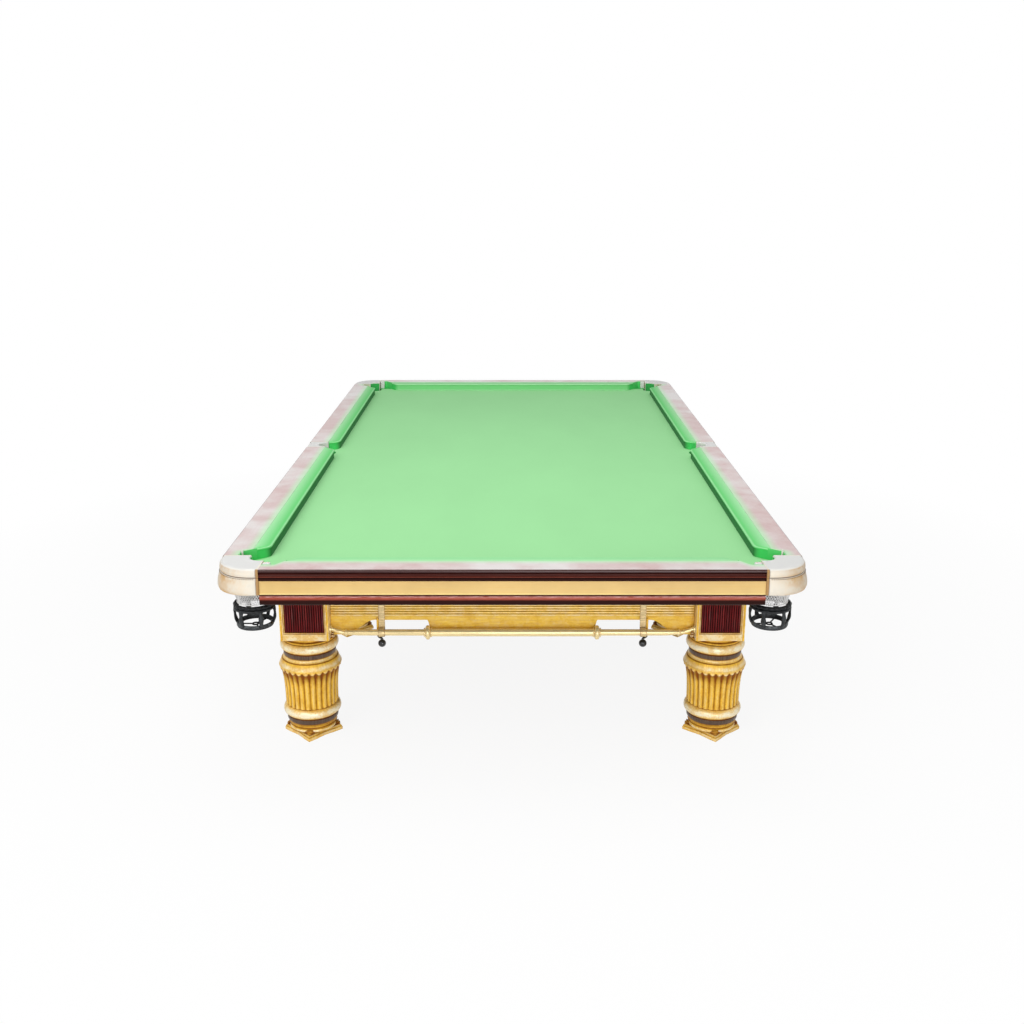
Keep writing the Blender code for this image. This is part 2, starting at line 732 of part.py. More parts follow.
def leg_levels():
    """Leg from the top down: square block, upper roll, knop, fluted vase, lower roll, and the bore for the stud."""
    corner = BLOCK_HALF * math.sqrt(2)
    roll = BLOCK_BOTTOM - UPPER_ROLL_HEIGHT
    band = roll - UPPER_BAND_HEIGHT
    knop = band - KNOP_HEIGHT
    vase = LEG_END + LOWER_BAND_HEIGHT + LOWER_ROLL_HEIGHT
    lower_roll = LEG_END + LOWER_BAND_HEIGHT
    upper = [
        (LEG_NECK_RADIUS, BLOCK_BOTTOM),
        (UPPER_ROLL_RADIUS, between(BLOCK_BOTTOM, roll, 0.5)),
        (between(UPPER_BAND_RADIUS, UPPER_ROLL_RADIUS, 0.7), roll),
        (UPPER_BAND_RADIUS, band),
        (between(UPPER_BAND_RADIUS, KNOP_RADIUS, 0.6), between(band, knop, 0.41)),
        (KNOP_RADIUS, between(band, knop, 0.83)),
        (VASE_TOP_RADIUS - KNOP_LIP, knop),
    ]
    flutes = [
        (VASE_TOP_RADIUS, knop - WELD),
        (between(VASE_RADIUS, VASE_TOP_RADIUS, 0.3), between(knop, vase, 0.3)),
        (VASE_RADIUS, vase),
    ]
    lower = [
        (between(LOWER_BAND_RADIUS, LOWER_ROLL_RADIUS, 0.6), vase - WELD),
        (LOWER_ROLL_RADIUS, between(vase, lower_roll, 0.53)),
        (between(LOWER_BAND_RADIUS, LOWER_ROLL_RADIUS, 0.75), lower_roll),
        (LOWER_BAND_RADIUS, between(lower_roll, LEG_END, 0.53)),
        (LEG_END_RADIUS, LEG_END),
    ]
    bore = STUD_RADIUS + BORE_CLEARANCE
    bore_top = LEG_END + STUD_LENGTH + BORE_SPARE
    levels = [square(corner, BLOCK_TOP, math.pi / 4), square(corner, BLOCK_BOTTOM, math.pi / 4)]
    levels += [ring(r, z) for r, z in upper]
    levels += [fluted(r, z) for r, z in flutes]
    levels += [ring(r, z) for r, z in lower]
    return levels + [ring(bore, LEG_END, STUD_SIDES), ring(bore, bore_top, STUD_SIDES)]


def foot_levels():
    """Levelling foot from the floor up: a plinth turned corner outwards, a round collar, and the stud."""
    half = FOOT_SIDE / math.sqrt(2)
    neck = FOOT_SIDE / 2 - FOOT_DRAW - FOOT_CHAMFER - FOOT_NECK_CLEARANCE
    top = LEG_END - SEAT
    collar = top - FOOT_THICKNESS
    return [
        drawn_square(half, 0.0, FOOT_DRAW),
        drawn_square(half, FOOT_THICKNESS - FOOT_CHAMFER, FOOT_DRAW),
        drawn_square(half - FOOT_CHAMFER, FOOT_THICKNESS, FOOT_DRAW),
        ring(neck, FOOT_THICKNESS, FOOT_SIDES),
        ring(FOOT_RING_RADIUS, FOOT_THICKNESS + collar * 0.3, FOOT_SIDES),
        ring(FOOT_RING_RADIUS, FOOT_THICKNESS + collar * 0.8, FOOT_SIDES),
        ring(FOOT_RING_RADIUS - FOOT_RING_ROUND, top, FOOT_SIDES),
        ring(STUD_RADIUS, top, STUD_SIDES),
        ring(STUD_RADIUS, top + STUD_LENGTH, STUD_SIDES),
    ]


def reeded_panel(outward):
    """Reeded panel set in a block's recess: half a wave for each reed, on a flat back."""
    outward = Vector(outward)
    across = outward.cross(Vector((0, 0, 1)))
    edge = PANEL_SPLAY + PANEL_GROOVE
    width = BLOCK_SIDE - 2 * PANEL_STILE - 2 * edge
    height = BLOCK_HEIGHT - 2 * PANEL_SILL - 2 * edge
    floor = BLOCK_HALF - PANEL_RECESS
    valley = floor + PANEL_RECESS - REED_RELIEF
    profile = [(-width / 2, floor - WELD)]
    for i in range(2 * PANEL_REEDS + 1):
        crest = REED_RELIEF * 0.75 if i % 2 else 0.0
        profile.append((-width / 2 + width * i / (2 * PANEL_REEDS), valley + crest))
    profile.append((width / 2, floor - WELD))
    low = Vector((0, 0, BLOCK_BOTTOM + PANEL_SILL + edge))
    return Shape().add(prism([low + across * w + outward * d for w, d in profile], (0, 0, height)))


def build_legs():
    for row, y in LEG_ROWS.items():
        for side, x_way in SIDES.items():
            at = (x_way * LEG_X, y, 0.0)
            shown = [(x_way, 0, 0)]
            if row in ENDS:
                shown.append((0, ENDS[row], 0))
            panels = [reeded_panel(outward) for outward in shown]
            node(f"leg_{row}_{side}", Shape().add(turned(leg_levels())), "gold_lacquer", at, shown, panels)
            node(f"levelling_foot_{row}_{side}", Shape().add(turned(foot_levels())), "gold_lacquer", at)


def apron_outline(half_span, top, tablet):
    """Apron seen from outside: a straight lower edge, ogee spandrels at the blocks and, at the ends, a tablet."""
    tip = half_span - SPANDREL_FOOT
    spandrel = [(half_span, SPANDREL_EDGE)] + wave((tip, SPANDREL_EDGE), (tip - SPANDREL_RUN, APRON_EDGE), 7)
    right = [(half_span, top)] + spandrel
    if tablet:
        right += wave((TABLET_HALF + TABLET_EASE, APRON_EDGE), (TABLET_HALF, TABLET_EDGE), 3)
    return right + [(-x, z) for x, z in reversed(right)]


def reed_section():
    """Reeded strip: a flat base with half-wave reeds, as (height, distance out from the apron)."""
    section = [(REED_BOTTOM, -WELD)]
    for i in range(2 * REED_COUNT + 1):
        section.append((REED_BOTTOM + REED_HEIGHT * i / 2, REED_BASE + REED_CROWN * (i % 2)))
    section.append((REED_BOTTOM + REED_HEIGHT * REED_COUNT, -WELD))
    return section


def bay(middle, half_span, outward, top, tablet):
    """One apron board between two leg blocks, and its reeded strip, which stops just short of the blocks."""
    outward = Vector(outward)
    up = Vector((0, 0, 1))
    across = up.cross(outward)
    middle = Vector((*middle, 0.0)) + outward * APRON_FACE
    board = [middle + across * x + up * z for x, z in apron_outline(half_span, top, tablet)]
    reach = half_span - WELD
    strip = [middle - across * reach + up * z + outward * d for z, d in reed_section()]
    return Shape().add(prism(board, -outward * APRON_THICKNESS)), Shape().add(prism(strip, across * 2 * reach))


def build_frame():
    low = BLOCK_TOP + SEAT
    high = SLATE_BOTTOM - SEAT
    half = BEAM_WIDTH / 2
    reach = CORNER_NET_Y - NET_TOP_RADIUS - BEAM_END_CLEARANCE
    rows = list(LEG_ROWS.values())
    for side, x_way in SIDES.items():
        x = x_way * LEG_X
        parts = []
        for before, after in zip(rows, rows[1:]):
            half_span = (after - before) / 2 - BLOCK_HALF - SEAT
            parts += bay((x, (before + after) / 2), half_span, (x_way, 0, 0), low + WELD, False)
        beam = Shape().add(box((x - half, -reach, low), (x + half, reach, high)))
        node(f"side_beam_{side}", beam, "gold_lacquer", joined=parts)
    span = LEG_X - half - SEAT
    for i in range(1, SLATE_COUNT):
        y = BED_HALF_LENGTH * (2 * i / SLATE_COUNT - 1)
        node(f"cross_beam_{i}", Shape().add(box((-span, y - half, low), (span, y + half, high))), "frame_timber")
    for end, y_way in ENDS.items():
        board, strip = bay((0.0, y_way * END_LEG_Y), LEG_X - BLOCK_HALF - SEAT, (0, y_way, 0), high, True)
        node(f"end_apron_{end}", board, "gold_lacquer", joined=[strip])


def rod_profile():
    """Half of a tie rail from its middle outwards, as (x, z, radius): swell, collar, plain run, taper, ring, bracket."""
    inner = COLLAR_X - COLLAR_WIDTH / 2
    outer = COLLAR_X + COLLAR_WIDTH / 2
    shoulder = (COLLAR_RADIUS + ROD_MIDDLE_RADIUS) / 2
    ease = COLLAR_WIDTH / 4
    ring_start = ROD_END - COLLAR_WIDTH / 2
    face = LEG_X - BLOCK_HALF - SEAT
    run = face - ROD_END
    high = ROD_Z + BRACKET_RISE
    return [
        (inner, ROD_Z, ROD_MIDDLE_RADIUS),
        (inner + WELD, ROD_Z, shoulder),
        (inner + ease, ROD_Z, COLLAR_RADIUS),
        (outer - ease, ROD_Z, COLLAR_RADIUS),
        (outer - WELD, ROD_Z, shoulder),
        (outer, ROD_Z, ROD_RADIUS),
        (ROD_END - ROD_TAPER, ROD_Z, ROD_RADIUS),
        (ring_start, ROD_Z, ROD_END_RADIUS),
        (ring_start + WELD, ROD_Z, ROD_RADIUS),
        (ROD_END, ROD_Z, ROD_RADIUS),
        (ROD_END + WELD, ROD_Z, BRACKET_NECK),
        (ROD_END + run * 0.35, ROD_Z + BRACKET_RISE * 0.25, BRACKET_NECK),
        (ROD_END + run * 0.65, high - BRACKET_RISE * 0.1, BRACKET_NECK),
        (face - run * 0.12, high, BRACKET_NECK),
        (face - run * 0.08, high, BRACKET_FLANGE),
        (face, high, BRACKET_FLANGE),
    ]


def tie_rail(y):
    half = rod_profile()
    whole = [(-x, z, r) for x, z, r in reversed(half)] + half
    return tube([(x, y, z) for x, z, _ in whole], [r for _, _, r in whole], ROD_SIDES)


def strap(x, y_way):
    """Flat hanger: straight down the apron, then bent round the rod into an eye."""
    full = 2 * math.pi - EYE_OPENING
    eye = arc((ROD_Y, ROD_Z), EYE_RADIUS, math.pi, math.pi + full, 9)
    path = [Vector((STRAP_Y, STRAP_TOP))] + [Vector(p) for p in eye]
    half = STRAP_THICKNESS / 2
    outer = []
    inner = []
    for i, here in enumerate(path):
        along = (path[min(i + 1, len(path) - 1)] - path[max(i - 1, 0)]).normalized()
        if i <= 1:
            along = Vector((0.0, -1.0))
        normal = Vector((-along.y, along.x))
        outer.append(here - normal * half)
        inner.append(here + normal * half)
    outline = outer + inner[::-1]
    low = x - STRAP_WIDTH / 2
    return prism([(low, y_way * y, z) for y, z in outline], (STRAP_WIDTH, 0, 0))


def rest_hook(x_way, y_way):
    """Black hook beside a strap: down behind the rod, in under the eye, and a ball at the end."""
    beside = STRAP_X + STRAP_WIDTH / 2 + SEAT + HOOK_RADIUS
    behind = ROD_Y - ROD_RADIUS - HOOK_RADIUS - HOOK_CLEARANCE
    under = ROD_Z - EYE_RADIUS - STRAP_THICKNESS / 2 - HOOK_RADIUS - HOOK_CLEARANCE / 2
    ball_z = ROD_Z - HOOK_DROP
    middle = ((beside + STRAP_X) / 2, (behind + ROD_Y) / 2)
    path = [
        (beside, behind, HOOK_TOP),
        (beside, behind, under + HOOK_BEND),
        (beside - HOOK_CLEARANCE, behind + HOOK_CLEARANCE, under + HOOK_BEND / 4),
        (middle[0], middle[1], under - HOOK_CLEARANCE),
    ]
    radii = [HOOK_RADIUS] * len(path)
    for angle in (18, 50, 80, 110, 140, 165):
        a = math.radians(angle)
        path.append((STRAP_X, ROD_Y, ball_z + HOOK_BALL * math.cos(a)))
        radii.append(HOOK_BALL * math.sin(a))
    return tube([(x_way * x, y_way * y, z) for x, y, z in path], radii, HOOK_SIDES)


def build_tie_rails():
    for end, y_way in ENDS.items():
        hangers = [Shape().add(strap(x_way * STRAP_X, y_way)) for x_way in SIDES.values()]
        node(f"tie_rail_{end}", Shape().add(tie_rail(y_way * ROD_Y)), "polished_brass", joined=hangers)
        for side, x_way in SIDES.items():
            node(f"rest_hook_{end}_{side}", Shape().add(rest_hook(x_way, y_way)), "black_basket")


def main():
    for piece in list(bpy.data.objects):
        bpy.data.objects.remove(piece, do_unlink=True)
    build_rails()
    build_bed()
    build_pockets()
    build_legs()
    build_frame()
    build_tie_rails()


main()
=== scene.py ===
"""Dresses the solids of a full-size snooker table: lacquered rails, cloth, leathers, nets and gold legs.

Lengths are in metres in the frame of the solids: X across the table, Y along it, Z up from the floor.
"""

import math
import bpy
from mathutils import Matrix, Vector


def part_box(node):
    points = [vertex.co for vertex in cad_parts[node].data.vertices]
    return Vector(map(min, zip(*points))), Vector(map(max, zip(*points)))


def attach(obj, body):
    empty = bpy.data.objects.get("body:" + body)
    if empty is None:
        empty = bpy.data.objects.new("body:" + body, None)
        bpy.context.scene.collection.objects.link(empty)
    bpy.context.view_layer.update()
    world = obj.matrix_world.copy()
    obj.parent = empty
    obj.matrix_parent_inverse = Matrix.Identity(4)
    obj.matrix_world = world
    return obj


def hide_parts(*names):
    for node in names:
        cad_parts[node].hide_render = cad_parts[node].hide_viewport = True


bl_info = {
    "name": "Snooker Table Dressing",
    "version": (1, 0, 0),
    "blender": (4, 5, 0),
    "location": "View3D > Sidebar > Table",
    "description": "Builds the finished surfaces of a full-size snooker table",
    "category": "Object",
}

from collections import namedtuple
from types import SimpleNamespace

import bmesh
import bpy
import numpy as np
from bpy.props import FloatProperty, FloatVectorProperty, IntProperty, PointerProperty

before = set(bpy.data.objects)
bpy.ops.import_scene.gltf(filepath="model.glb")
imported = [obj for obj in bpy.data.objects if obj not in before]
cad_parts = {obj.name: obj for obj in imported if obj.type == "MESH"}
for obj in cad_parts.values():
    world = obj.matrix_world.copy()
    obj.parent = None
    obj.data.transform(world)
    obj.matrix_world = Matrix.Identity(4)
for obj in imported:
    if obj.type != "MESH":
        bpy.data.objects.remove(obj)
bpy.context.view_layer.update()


def node_box(name):
    low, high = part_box(name)
    return np.array(low), np.array(high)


# Places read from the solids
RAIL_LOW, RAIL_HIGH = node_box("cushion_rail_front")
BED_LOW, BED_HIGH = node_box("bed_cloth")
LEG_LOW, LEG_HIGH = node_box("leg_front_right")
FRAME_TOP = node_box("cross_beam_1")[1][2]
RAIL_TOP = RAIL_HIGH[2]
BEAD_BOTTOM = RAIL_LOW[2]
BED_TOP = BED_HIGH[2]
LEG_X = (LEG_LOW[0] + LEG_HIGH[0]) / 2
END_LEG_Y = -(LEG_LOW[1] + LEG_HIGH[1]) / 2
LEG_END = LEG_LOW[2]
BLOCK_TOP = LEG_HIGH[2]

# Rails and cushions
SEAT = 0.0003
WOOD_DEPTH = 0.096
CUSHION_DEPTH = 0.056
HALF_WIDTH = BED_HIGH[0] + WOOD_DEPTH + SEAT
HALF_LENGTH = BED_HIGH[1] + WOOD_DEPTH + SEAT
TOP_BOARD = 0.012
CROWN_BOTTOM = RAIL_TOP - 0.039
FASCIA_BOTTOM = CROWN_BOTTOM - 0.055
FASCIA_SET_IN = 0.003
BEAD_REACH = 0.007
CORE_FACE = 0.029
MOULDING_BACK = 0.030
JAW_ROUND = 0.035
JAW_ANGLE = 54.0
JAW_SLOPE = math.tan(math.radians(JAW_ANGLE))
JAW_FLARE = 0.040
JAW_NOTCH = 0.046
JAW_START = JAW_NOTCH + JAW_FLARE / JAW_SLOPE
LINING = 0.0016

# Pockets
CORNER_REACH = 0.160
CORNER_ROUND = 0.130
CORNER_POCKET = np.array((HALF_WIDTH, HALF_LENGTH)) - CORNER_REACH + 0.034
CORNER_NET = CORNER_POCKET + 0.012
MIDDLE_REACH = 0.061
MIDDLE_POCKET = np.array((HALF_WIDTH - WOOD_DEPTH - CUSHION_DEPTH + MIDDLE_REACH, 0.0))
CORNER_HOLE = 0.042
MIDDLE_HOLE = 0.048
CORNER_OVERHANG = 0.019
MIDDLE_OVERHANG = 0.014
FALL_RADIUS = 0.050
SEAM_HEIGHT = CROWN_BOTTOM + 0.008
LEATHER_LIP = 0.006
LEATHER_ROLL = 0.0125
NET_MOUTH = 0.0785
BASKET_RIM = FASCIA_BOTTOM - 0.0763
BASKET_LOW = BASKET_RIM - 0.078

# Legs and feet
MIDDLE_LEG_Y = 0.360
BLOCK_HALF = 0.095
FRAME_PROUD = 0.008
CORE_HALF = BLOCK_HALF - FRAME_PROUD
BLOCK_FACE = LEG_X - BLOCK_HALF
BLOCK_BOTTOM = BLOCK_TOP - 0.235
PANEL_STILE = 0.0185
PANEL_SILL = 0.0335
UPPER_ROLL = BLOCK_BOTTOM - 0.0385
UPPER_BAND = (BLOCK_BOTTOM - 0.0605, BLOCK_BOTTOM - 0.0795)
KNOP_FOOT = BLOCK_BOTTOM - 0.138
VASE_FOOT = LEG_END + 0.085
LOWER_ROLL = LEG_END + 0.0610
LOWER_BAND = (LEG_END + 0.0385, LEG_END + 0.0180)
FOOT_TOP = LEG_END - SEAT
PLINTH_SIDE = 0.165

# Aprons and tie rails
APRON_FACE = 0.035
APRON_DEEP = 0.040
APRON_PITCH = 0.0105
APRON_LOWEST = BLOCK_TOP - 0.153
ROD_Z = BLOCK_TOP - 0.213
ROD_Y = END_LEG_Y + 0.0588
ROD_END = BLOCK_FACE - 0.055
ROD_COLLAR = 0.3315
HANGER_X = BLOCK_FACE - 0.202
STRAP_HALF = 0.0122
EYE_RADIUS = 0.0150
SHANK_RADIUS = 0.0045
BALL_RADIUS = 0.0155

SIDES = {"left": -1, "right": 1}
ENDS = {"front": -1, "rear": 1}
LEG_ROWS = {"front": -END_LEG_Y, "mid_front": -MIDDLE_LEG_Y, "mid_rear": MIDDLE_LEG_Y, "rear": END_LEG_Y}
SQUARE = np.array(((-1, -1), (1, -1), (1, 1), (-1, 1)))
UP = np.array((0.0, 0.0, 1.0))
WHITE = (1.0, 1.0, 1.0, 1.0)


def paint(red, green, blue):
    """Screen colour of 0 to 255 as the linear colour that a shader takes."""
    share = np.array((red, green, blue)) / 255
    linear = np.where(share > 0.04045, ((share + 0.055) / 1.055) ** 2.4, share / 12.92)
    return tuple(float(v) for v in linear)


def colour(name, words, *rgb):
    return FloatVectorProperty(name=name, description=words, subtype="COLOR", default=paint(*rgb), min=0, max=1)


def length(name, words, size):
    return FloatProperty(name=name, description=words, default=size, min=0.0, unit="LENGTH", precision=4)


def number(name, words, count, low, high=100):
    return IntProperty(name=name, description=words, default=count, min=low, max=high)


class TableSizes(bpy.types.PropertyGroup):
    """Sizes of the fine work on the table."""

    flutes: number("Flutes", "Reeds round each leg's vase", 28, 8, 40)
    flute_depth: length("Flute depth", "Depth of the hollow between two reeds", 0.006)
    lip_scallop: length("Lip scallop", "Rise and fall of the lip above the flutes", 0.006)
    panel_reeds: number("Panel reeds", "Reeds across a leg panel", 17, 3, 24)
    apron_reeds: number("Apron reeds", "Reeds one above the other on an apron", 8, 2)
    seam_depth: length("Seam depth", "Depth of the sewn line round a pocket leather", 0.0024)
    stitch_pitch: length("Stitch pitch", "Distance from one stitch to the next", 0.0075)
    cord_radius: length("Cord radius", "Half the thickness of the net cord", 0.0015)
    net_cords: number("Net cords", "Cords that wind each way round a net", 44, 6)
    edge_round: length("Edge round", "Rounding on the edges of boards and plinths", 0.0018)


class TableColours(bpy.types.PropertyGroup):
    """Colours of the table's finishes."""

    bed: colour("Bed cloth", "Napped cloth of the bed", 161, 227, 161)
    cushion: colour("Cushion cloth", "Cloth over the cushions", 106, 211, 120)
    # Painted highlight: pale cloth on the cushion tops and noses, also laid on the rail tops as a painted
    # reflection of the cloth.
    cloth_highlight: colour("Pale cloth", "Cushion cloth where it meets the rail", 170, 232, 174)
    jaw: colour("Jaw cloth", "Green of the pocket jaws", 74, 206, 104)
    # Painted shade: darker cloth below the cushion noses and inside the pockets.
    shade: colour("Cloth shade", "Cloth in the undercut below a cushion's nose", 34, 110, 54)
    # Painted reflection: the pale rail top stands for light reflected by dark lacquer.
    rail: colour("Rail top", "Pale lacquer of the rail tops", 219, 213, 211)
    # Painted reflection and highlight: rosy patches on the rail tops, flecks on the beads, glints on the leg
    # panels.
    rose_highlight: colour("Rail rose", "Rose patches in the rail lacquer", 198, 165, 163)
    mahogany: colour("Mahogany", "Dark lacquer of the mouldings", 58, 18, 14)
    # Reddish brown: streaks in the leg panels, and painted highlight on the beads and crowns.
    russet_and_highlight: colour("Russet", "Rubbed red of the mouldings and panels", 172, 82, 64)
    band: colour("Gold band", "Pale gold lacquer of the fascia", 246, 220, 146)
    gold: colour("Carved gold", "Gold lacquer on carved wood", 248, 194, 62)
    # Cream: rubbed on crests, and painted highlight on the carving's crests and edges.
    cream_rub_and_highlight: colour("Cream gold", "Rubbed cream on the crests of the carving", 250, 238, 204)
    ochre: colour("Ochre", "Deep orange patches in the gold", 210, 142, 34)
    # Umber: wash in the hollows, and painted shade under each leg roll and lip.
    umber: colour("Umber", "Dark wash in the hollows of the carving", 134, 72, 12)
    ring: colour("Ring", "Grey-brown painted rings of the legs", 104, 84, 72)
    panel: colour("Panel red", "Dark red lacquer of the leg panels", 140, 20, 28)
    quirk: colour("Panel quirk", "Near black between the reeds of a panel", 22, 8, 8)
    leather: colour("Leather", "Cream pocket leather", 232, 226, 212)
    leather_top: colour("Leather top", "Grey-white top of the pocket leather", 219, 219, 217)
    # Tan: handled leather edges, and painted shade towards the skirts' hems.
    tan: colour("Leather edge", "Tan of worn and turned leather edges", 198, 156, 96)
    seam: colour("Seam", "Dark thread and groove of the leather seams", 96, 66, 42)
    cord: colour("Net cord", "Pale net cord", 238, 238, 238)
    basket: colour("Basket", "Black moulded plastic", 17, 18, 20)
    # Grey rub, and painted highlight on the baskets' upper faces.
    basket_rub: colour("Basket rub", "Grey where balls and hands rub the basket", 138, 144, 148)
    brass: colour("Brass", "Polished brass of the tie rail", 250, 226, 168)
    hook: colour("Hook", "Black paint of the rest hooks", 20, 21, 23)
    slate: colour("Slate", "Honed slate", 78, 82, 86)
    timber: colour("Timber", "Plain timber of the frame", 158, 116, 74)
    steel: colour("Steel", "Levelling screws", 150, 150, 152)


def mm(rows, at=0.0):
    """Points written in millimetres, as metres from a place."""
    return np.asarray(rows, float) / 1000 + np.asarray(at)


def turns(sides):
    """Angles at equal steps round a circle."""
    return np.linspace(0, 2 * np.pi, sides, endpoint=False)


def peak(values, level, width, power=2):
    """Bell curve about a level: the exponential of minus a power of the distance over a width."""
    return np.exp(-(((values - level) / width) ** power))


def ramp(values, low, high):
    """Straight rise from 0 at low to 1 at high."""
    return np.clip((values - low) / (high - low), 0, 1)


def arc(centre, radius, start, end, steps):
    """Flat arc: centre plus radius times (cos a, sin a), with a in degrees from start to end."""
    a = np.radians(np.linspace(start, end, steps))
    return np.column_stack((centre[0] + radius * np.cos(a), centre[1] + radius * np.sin(a)))


def squarish(a, power):
    """Round of (cos a, sin a) drawn out towards a square by a power of their size."""
    turn = np.stack((np.cos(a), np.sin(a)))
    return np.sign(turn) * np.abs(turn) ** power


def joined(*parts):
    return np.concatenate([np.atleast_2d(np.asarray(p, float)) for p in parts])


def run_on(*parts):
    return np.concatenate([np.atleast_1d(np.asarray(p, float)) for p in parts])


def raised(plan, height):
    """Flat outline lifted to a height."""
    return np.column_stack((plan, np.full(len(plan), height)))


def unit(vectors):
    return vectors / np.maximum(np.linalg.norm(vectors, axis=-1, keepdims=True), 1e-12)


def facing(outward):
    """Outward direction of an upright face and the direction across it."""
    return np.array((*outward, 0.0)), np.array((-outward[1], outward[0], 0.0))


def path_length(path):
    return np.linalg.norm(np.diff(path, axis=0), axis=1).sum()


def along_path(path, shares):
    """Points of a path of straight runs, each at a share of its length."""
    path = np.asarray(path, float)
    run = run_on(0.0, np.cumsum(np.linalg.norm(np.diff(path, axis=0), axis=1)))
    at = np.asarray(shares) * run[-1]
    return np.column_stack([np.interp(at, run, axis) for axis in path.T])


def smoothed(points, count):
    """Smooth line through a few points: cubic pieces whose slope at a point follows its two neighbours."""
    points = np.asarray(points, float)
    slope = np.gradient(points, axis=0)
    t = np.linspace(0, len(points) - 1, count)
    k = np.minimum(t.astype(int), len(points) - 2)
    s = (t - k)[:, None]
    from_start = (2 * s**3 - 3 * s**2 + 1) * points[k] + (s**3 - 2 * s**2 + s) * slope[k]
    return from_start + (3 * s**2 - 2 * s**3) * points[k + 1] + (s**3 - s**2) * slope[k + 1]


def tube(path, radius, sides=12, up=UP, flat=1.0):
    """Round bar: a circle carried square to a path; flat squeezes the circle across the path."""
    path = np.asarray(path, float)
    way = unit(np.gradient(path, axis=0))
    side = unit(np.cross(way, np.asarray(up, float)))
    rise = np.cross(side, way)
    radius = np.broadcast_to(np.asarray(radius, float), len(path))[:, None, None]
    a = turns(sides)[None, :, None]
    return path[:, None] + radius * (np.cos(a) * flat * side[:, None] + np.sin(a) * rise[:, None])


def spun(radius, height, sides, centre=0.0):
    """Turned surface: radius and height, by row or by point, swung round an upright axis."""
    a = turns(sides)
    return np.stack((radius * np.cos(a), radius * np.sin(a), height + 0 * a), -1) + np.asarray(centre)


def turned(profile, sides, centre=0.0):
    """Turned surface of a profile of (radius, height)."""
    profile = np.asarray(profile, float)
    return spun(profile[:, :1], profile[:, 1:], sides, centre)


def hoop(radius, thick, height, sides, steps, centre):
    """Ring: an oval, given by half its thickness and half its height, carried round a circle."""
    b = turns(sides)[:, None]
    rows = spun(np.asarray(radius) + thick * np.cos(b), height * np.sin(b), steps, centre)
    return rows.transpose(1, 0, 2)


class Skin:
    """Grids of points gathered into one mesh, with lengths as UVs and three painted masks."""

    CREASE = math.radians(38)
    BEVEL_ANGLE = math.radians(35)

    def __init__(self):
        self.points, self.faces, self.uvs = [], [], []
        self.masks = {"relief": [], "tint": [], "wear": []}
        self.count = 0

    def grid(self, points, rejoined=False, ends=False, **masks):
        """Quads between closed rows of points; rejoined ties the last row to the first.

        With ends, the first and the last row are filled. A mask is one value, a row of them or a whole grid.
        """
        points = np.asarray(points, float)
        rows, columns = points.shape[:2]
        i, j = np.meshgrid(np.arange(rows if rejoined else rows - 1), np.arange(columns), indexing="ij")
        u, v = self.lengths(points, 0), self.lengths(points, 1)
        corners = ((i, j), (i + 1, j), (i + 1, j + 1), (i, j + 1))
        quads = np.stack([(a % rows) * columns + b % columns for a, b in corners], -1).reshape(-1, 4)
        self.faces.extend((quads + self.count).tolist())
        self.uvs.append(np.stack([np.stack((u[a], v[b]), -1) for a, b in corners], -2).reshape(-1, 2))
        for row in (0, rows - 1) if ends else ():
            self.faces.append((np.arange(columns) + row * columns + self.count).tolist())
            widest = np.argsort(-np.ptp(points[row], axis=0), kind="stable")[:2]
            self.uvs.append(points[row][:, widest])
        self.points.append(points.reshape(-1, 3))
        for key, parts in self.masks.items():
            parts.append(np.broadcast_to(np.asarray(masks.get(key, 0.0), float), (rows, columns)).ravel())
        self.count += rows * columns
        return self

    @staticmethod
    def lengths(points, axis):
        steps = np.linalg.norm(np.roll(points, -1, axis=axis) - points, axis=-1).mean(axis=1 - axis)
        return run_on(0.0, np.cumsum(steps))

    def solid(self, points, **masks):
        return self.grid(points, ends=True, **masks)

    def ring(self, points, **masks):
        return self.grid(points, rejoined=True, **masks)

    def board(self, outline, travel, **masks):
        """Flat outline pushed along a line, as a closed solid."""
        return self.solid(np.stack((outline, outline + np.asarray(travel))), **masks)

    def shown(self, name, material):
        """The grids as one object, with its faces turned outwards and its corners kept sharp."""
        mesh = bpy.data.meshes.new(name)
        mesh.from_pydata(np.concatenate(self.points).tolist(), [], self.faces)
        mesh.uv_layers.new(name="UVMap").data.foreach_set("uv", np.concatenate(self.uvs).ravel())
        for key, parts in self.masks.items():
            mesh.attributes.new(key, "FLOAT", "POINT").data.foreach_set("value", np.concatenate(parts))
        work = bmesh.new()
        work.from_mesh(mesh)
        bmesh.ops.recalc_face_normals(work, faces=work.faces)
        work.to_mesh(mesh)
        work.free()
        mesh.shade_smooth()
        mesh.set_sharp_from_angle(angle=self.CREASE)
        mesh.materials.append(material)
        piece = bpy.data.objects.new(name, mesh)
        bpy.context.scene.collection.objects.link(piece)
        return piece

    def make(self, name, finish_name, slot=None, node=None, body="table", round_edges=0.0):
        """The grids as a piece that rides on a body, with a finish, hiding the solid it stands for; the slot is
        not used.
        """
        piece = self.shown(name, finish(finish_name))
        if round_edges:
            bevel = piece.modifiers.new("rounded_edges", "BEVEL")
            bevel.width = round_edges
            bevel.segments = 2
            bevel.limit_method = "ANGLE"
            bevel.angle_limit = self.BEVEL_ANGLE
        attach(piece, body)
        slot or finish_name
        if node:
            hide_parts(node)
        return piece


def plug(tree, socket, value):
    """Links a node's output to a socket, or sets the socket to a number or a colour."""
    if isinstance(value, bpy.types.NodeSocket):
        tree.links.new(value, socket)
    elif socket.type == "RGBA" and len(value) == 3:
        socket.default_value = (*value, 1.0)
    else:
        socket.default_value = value


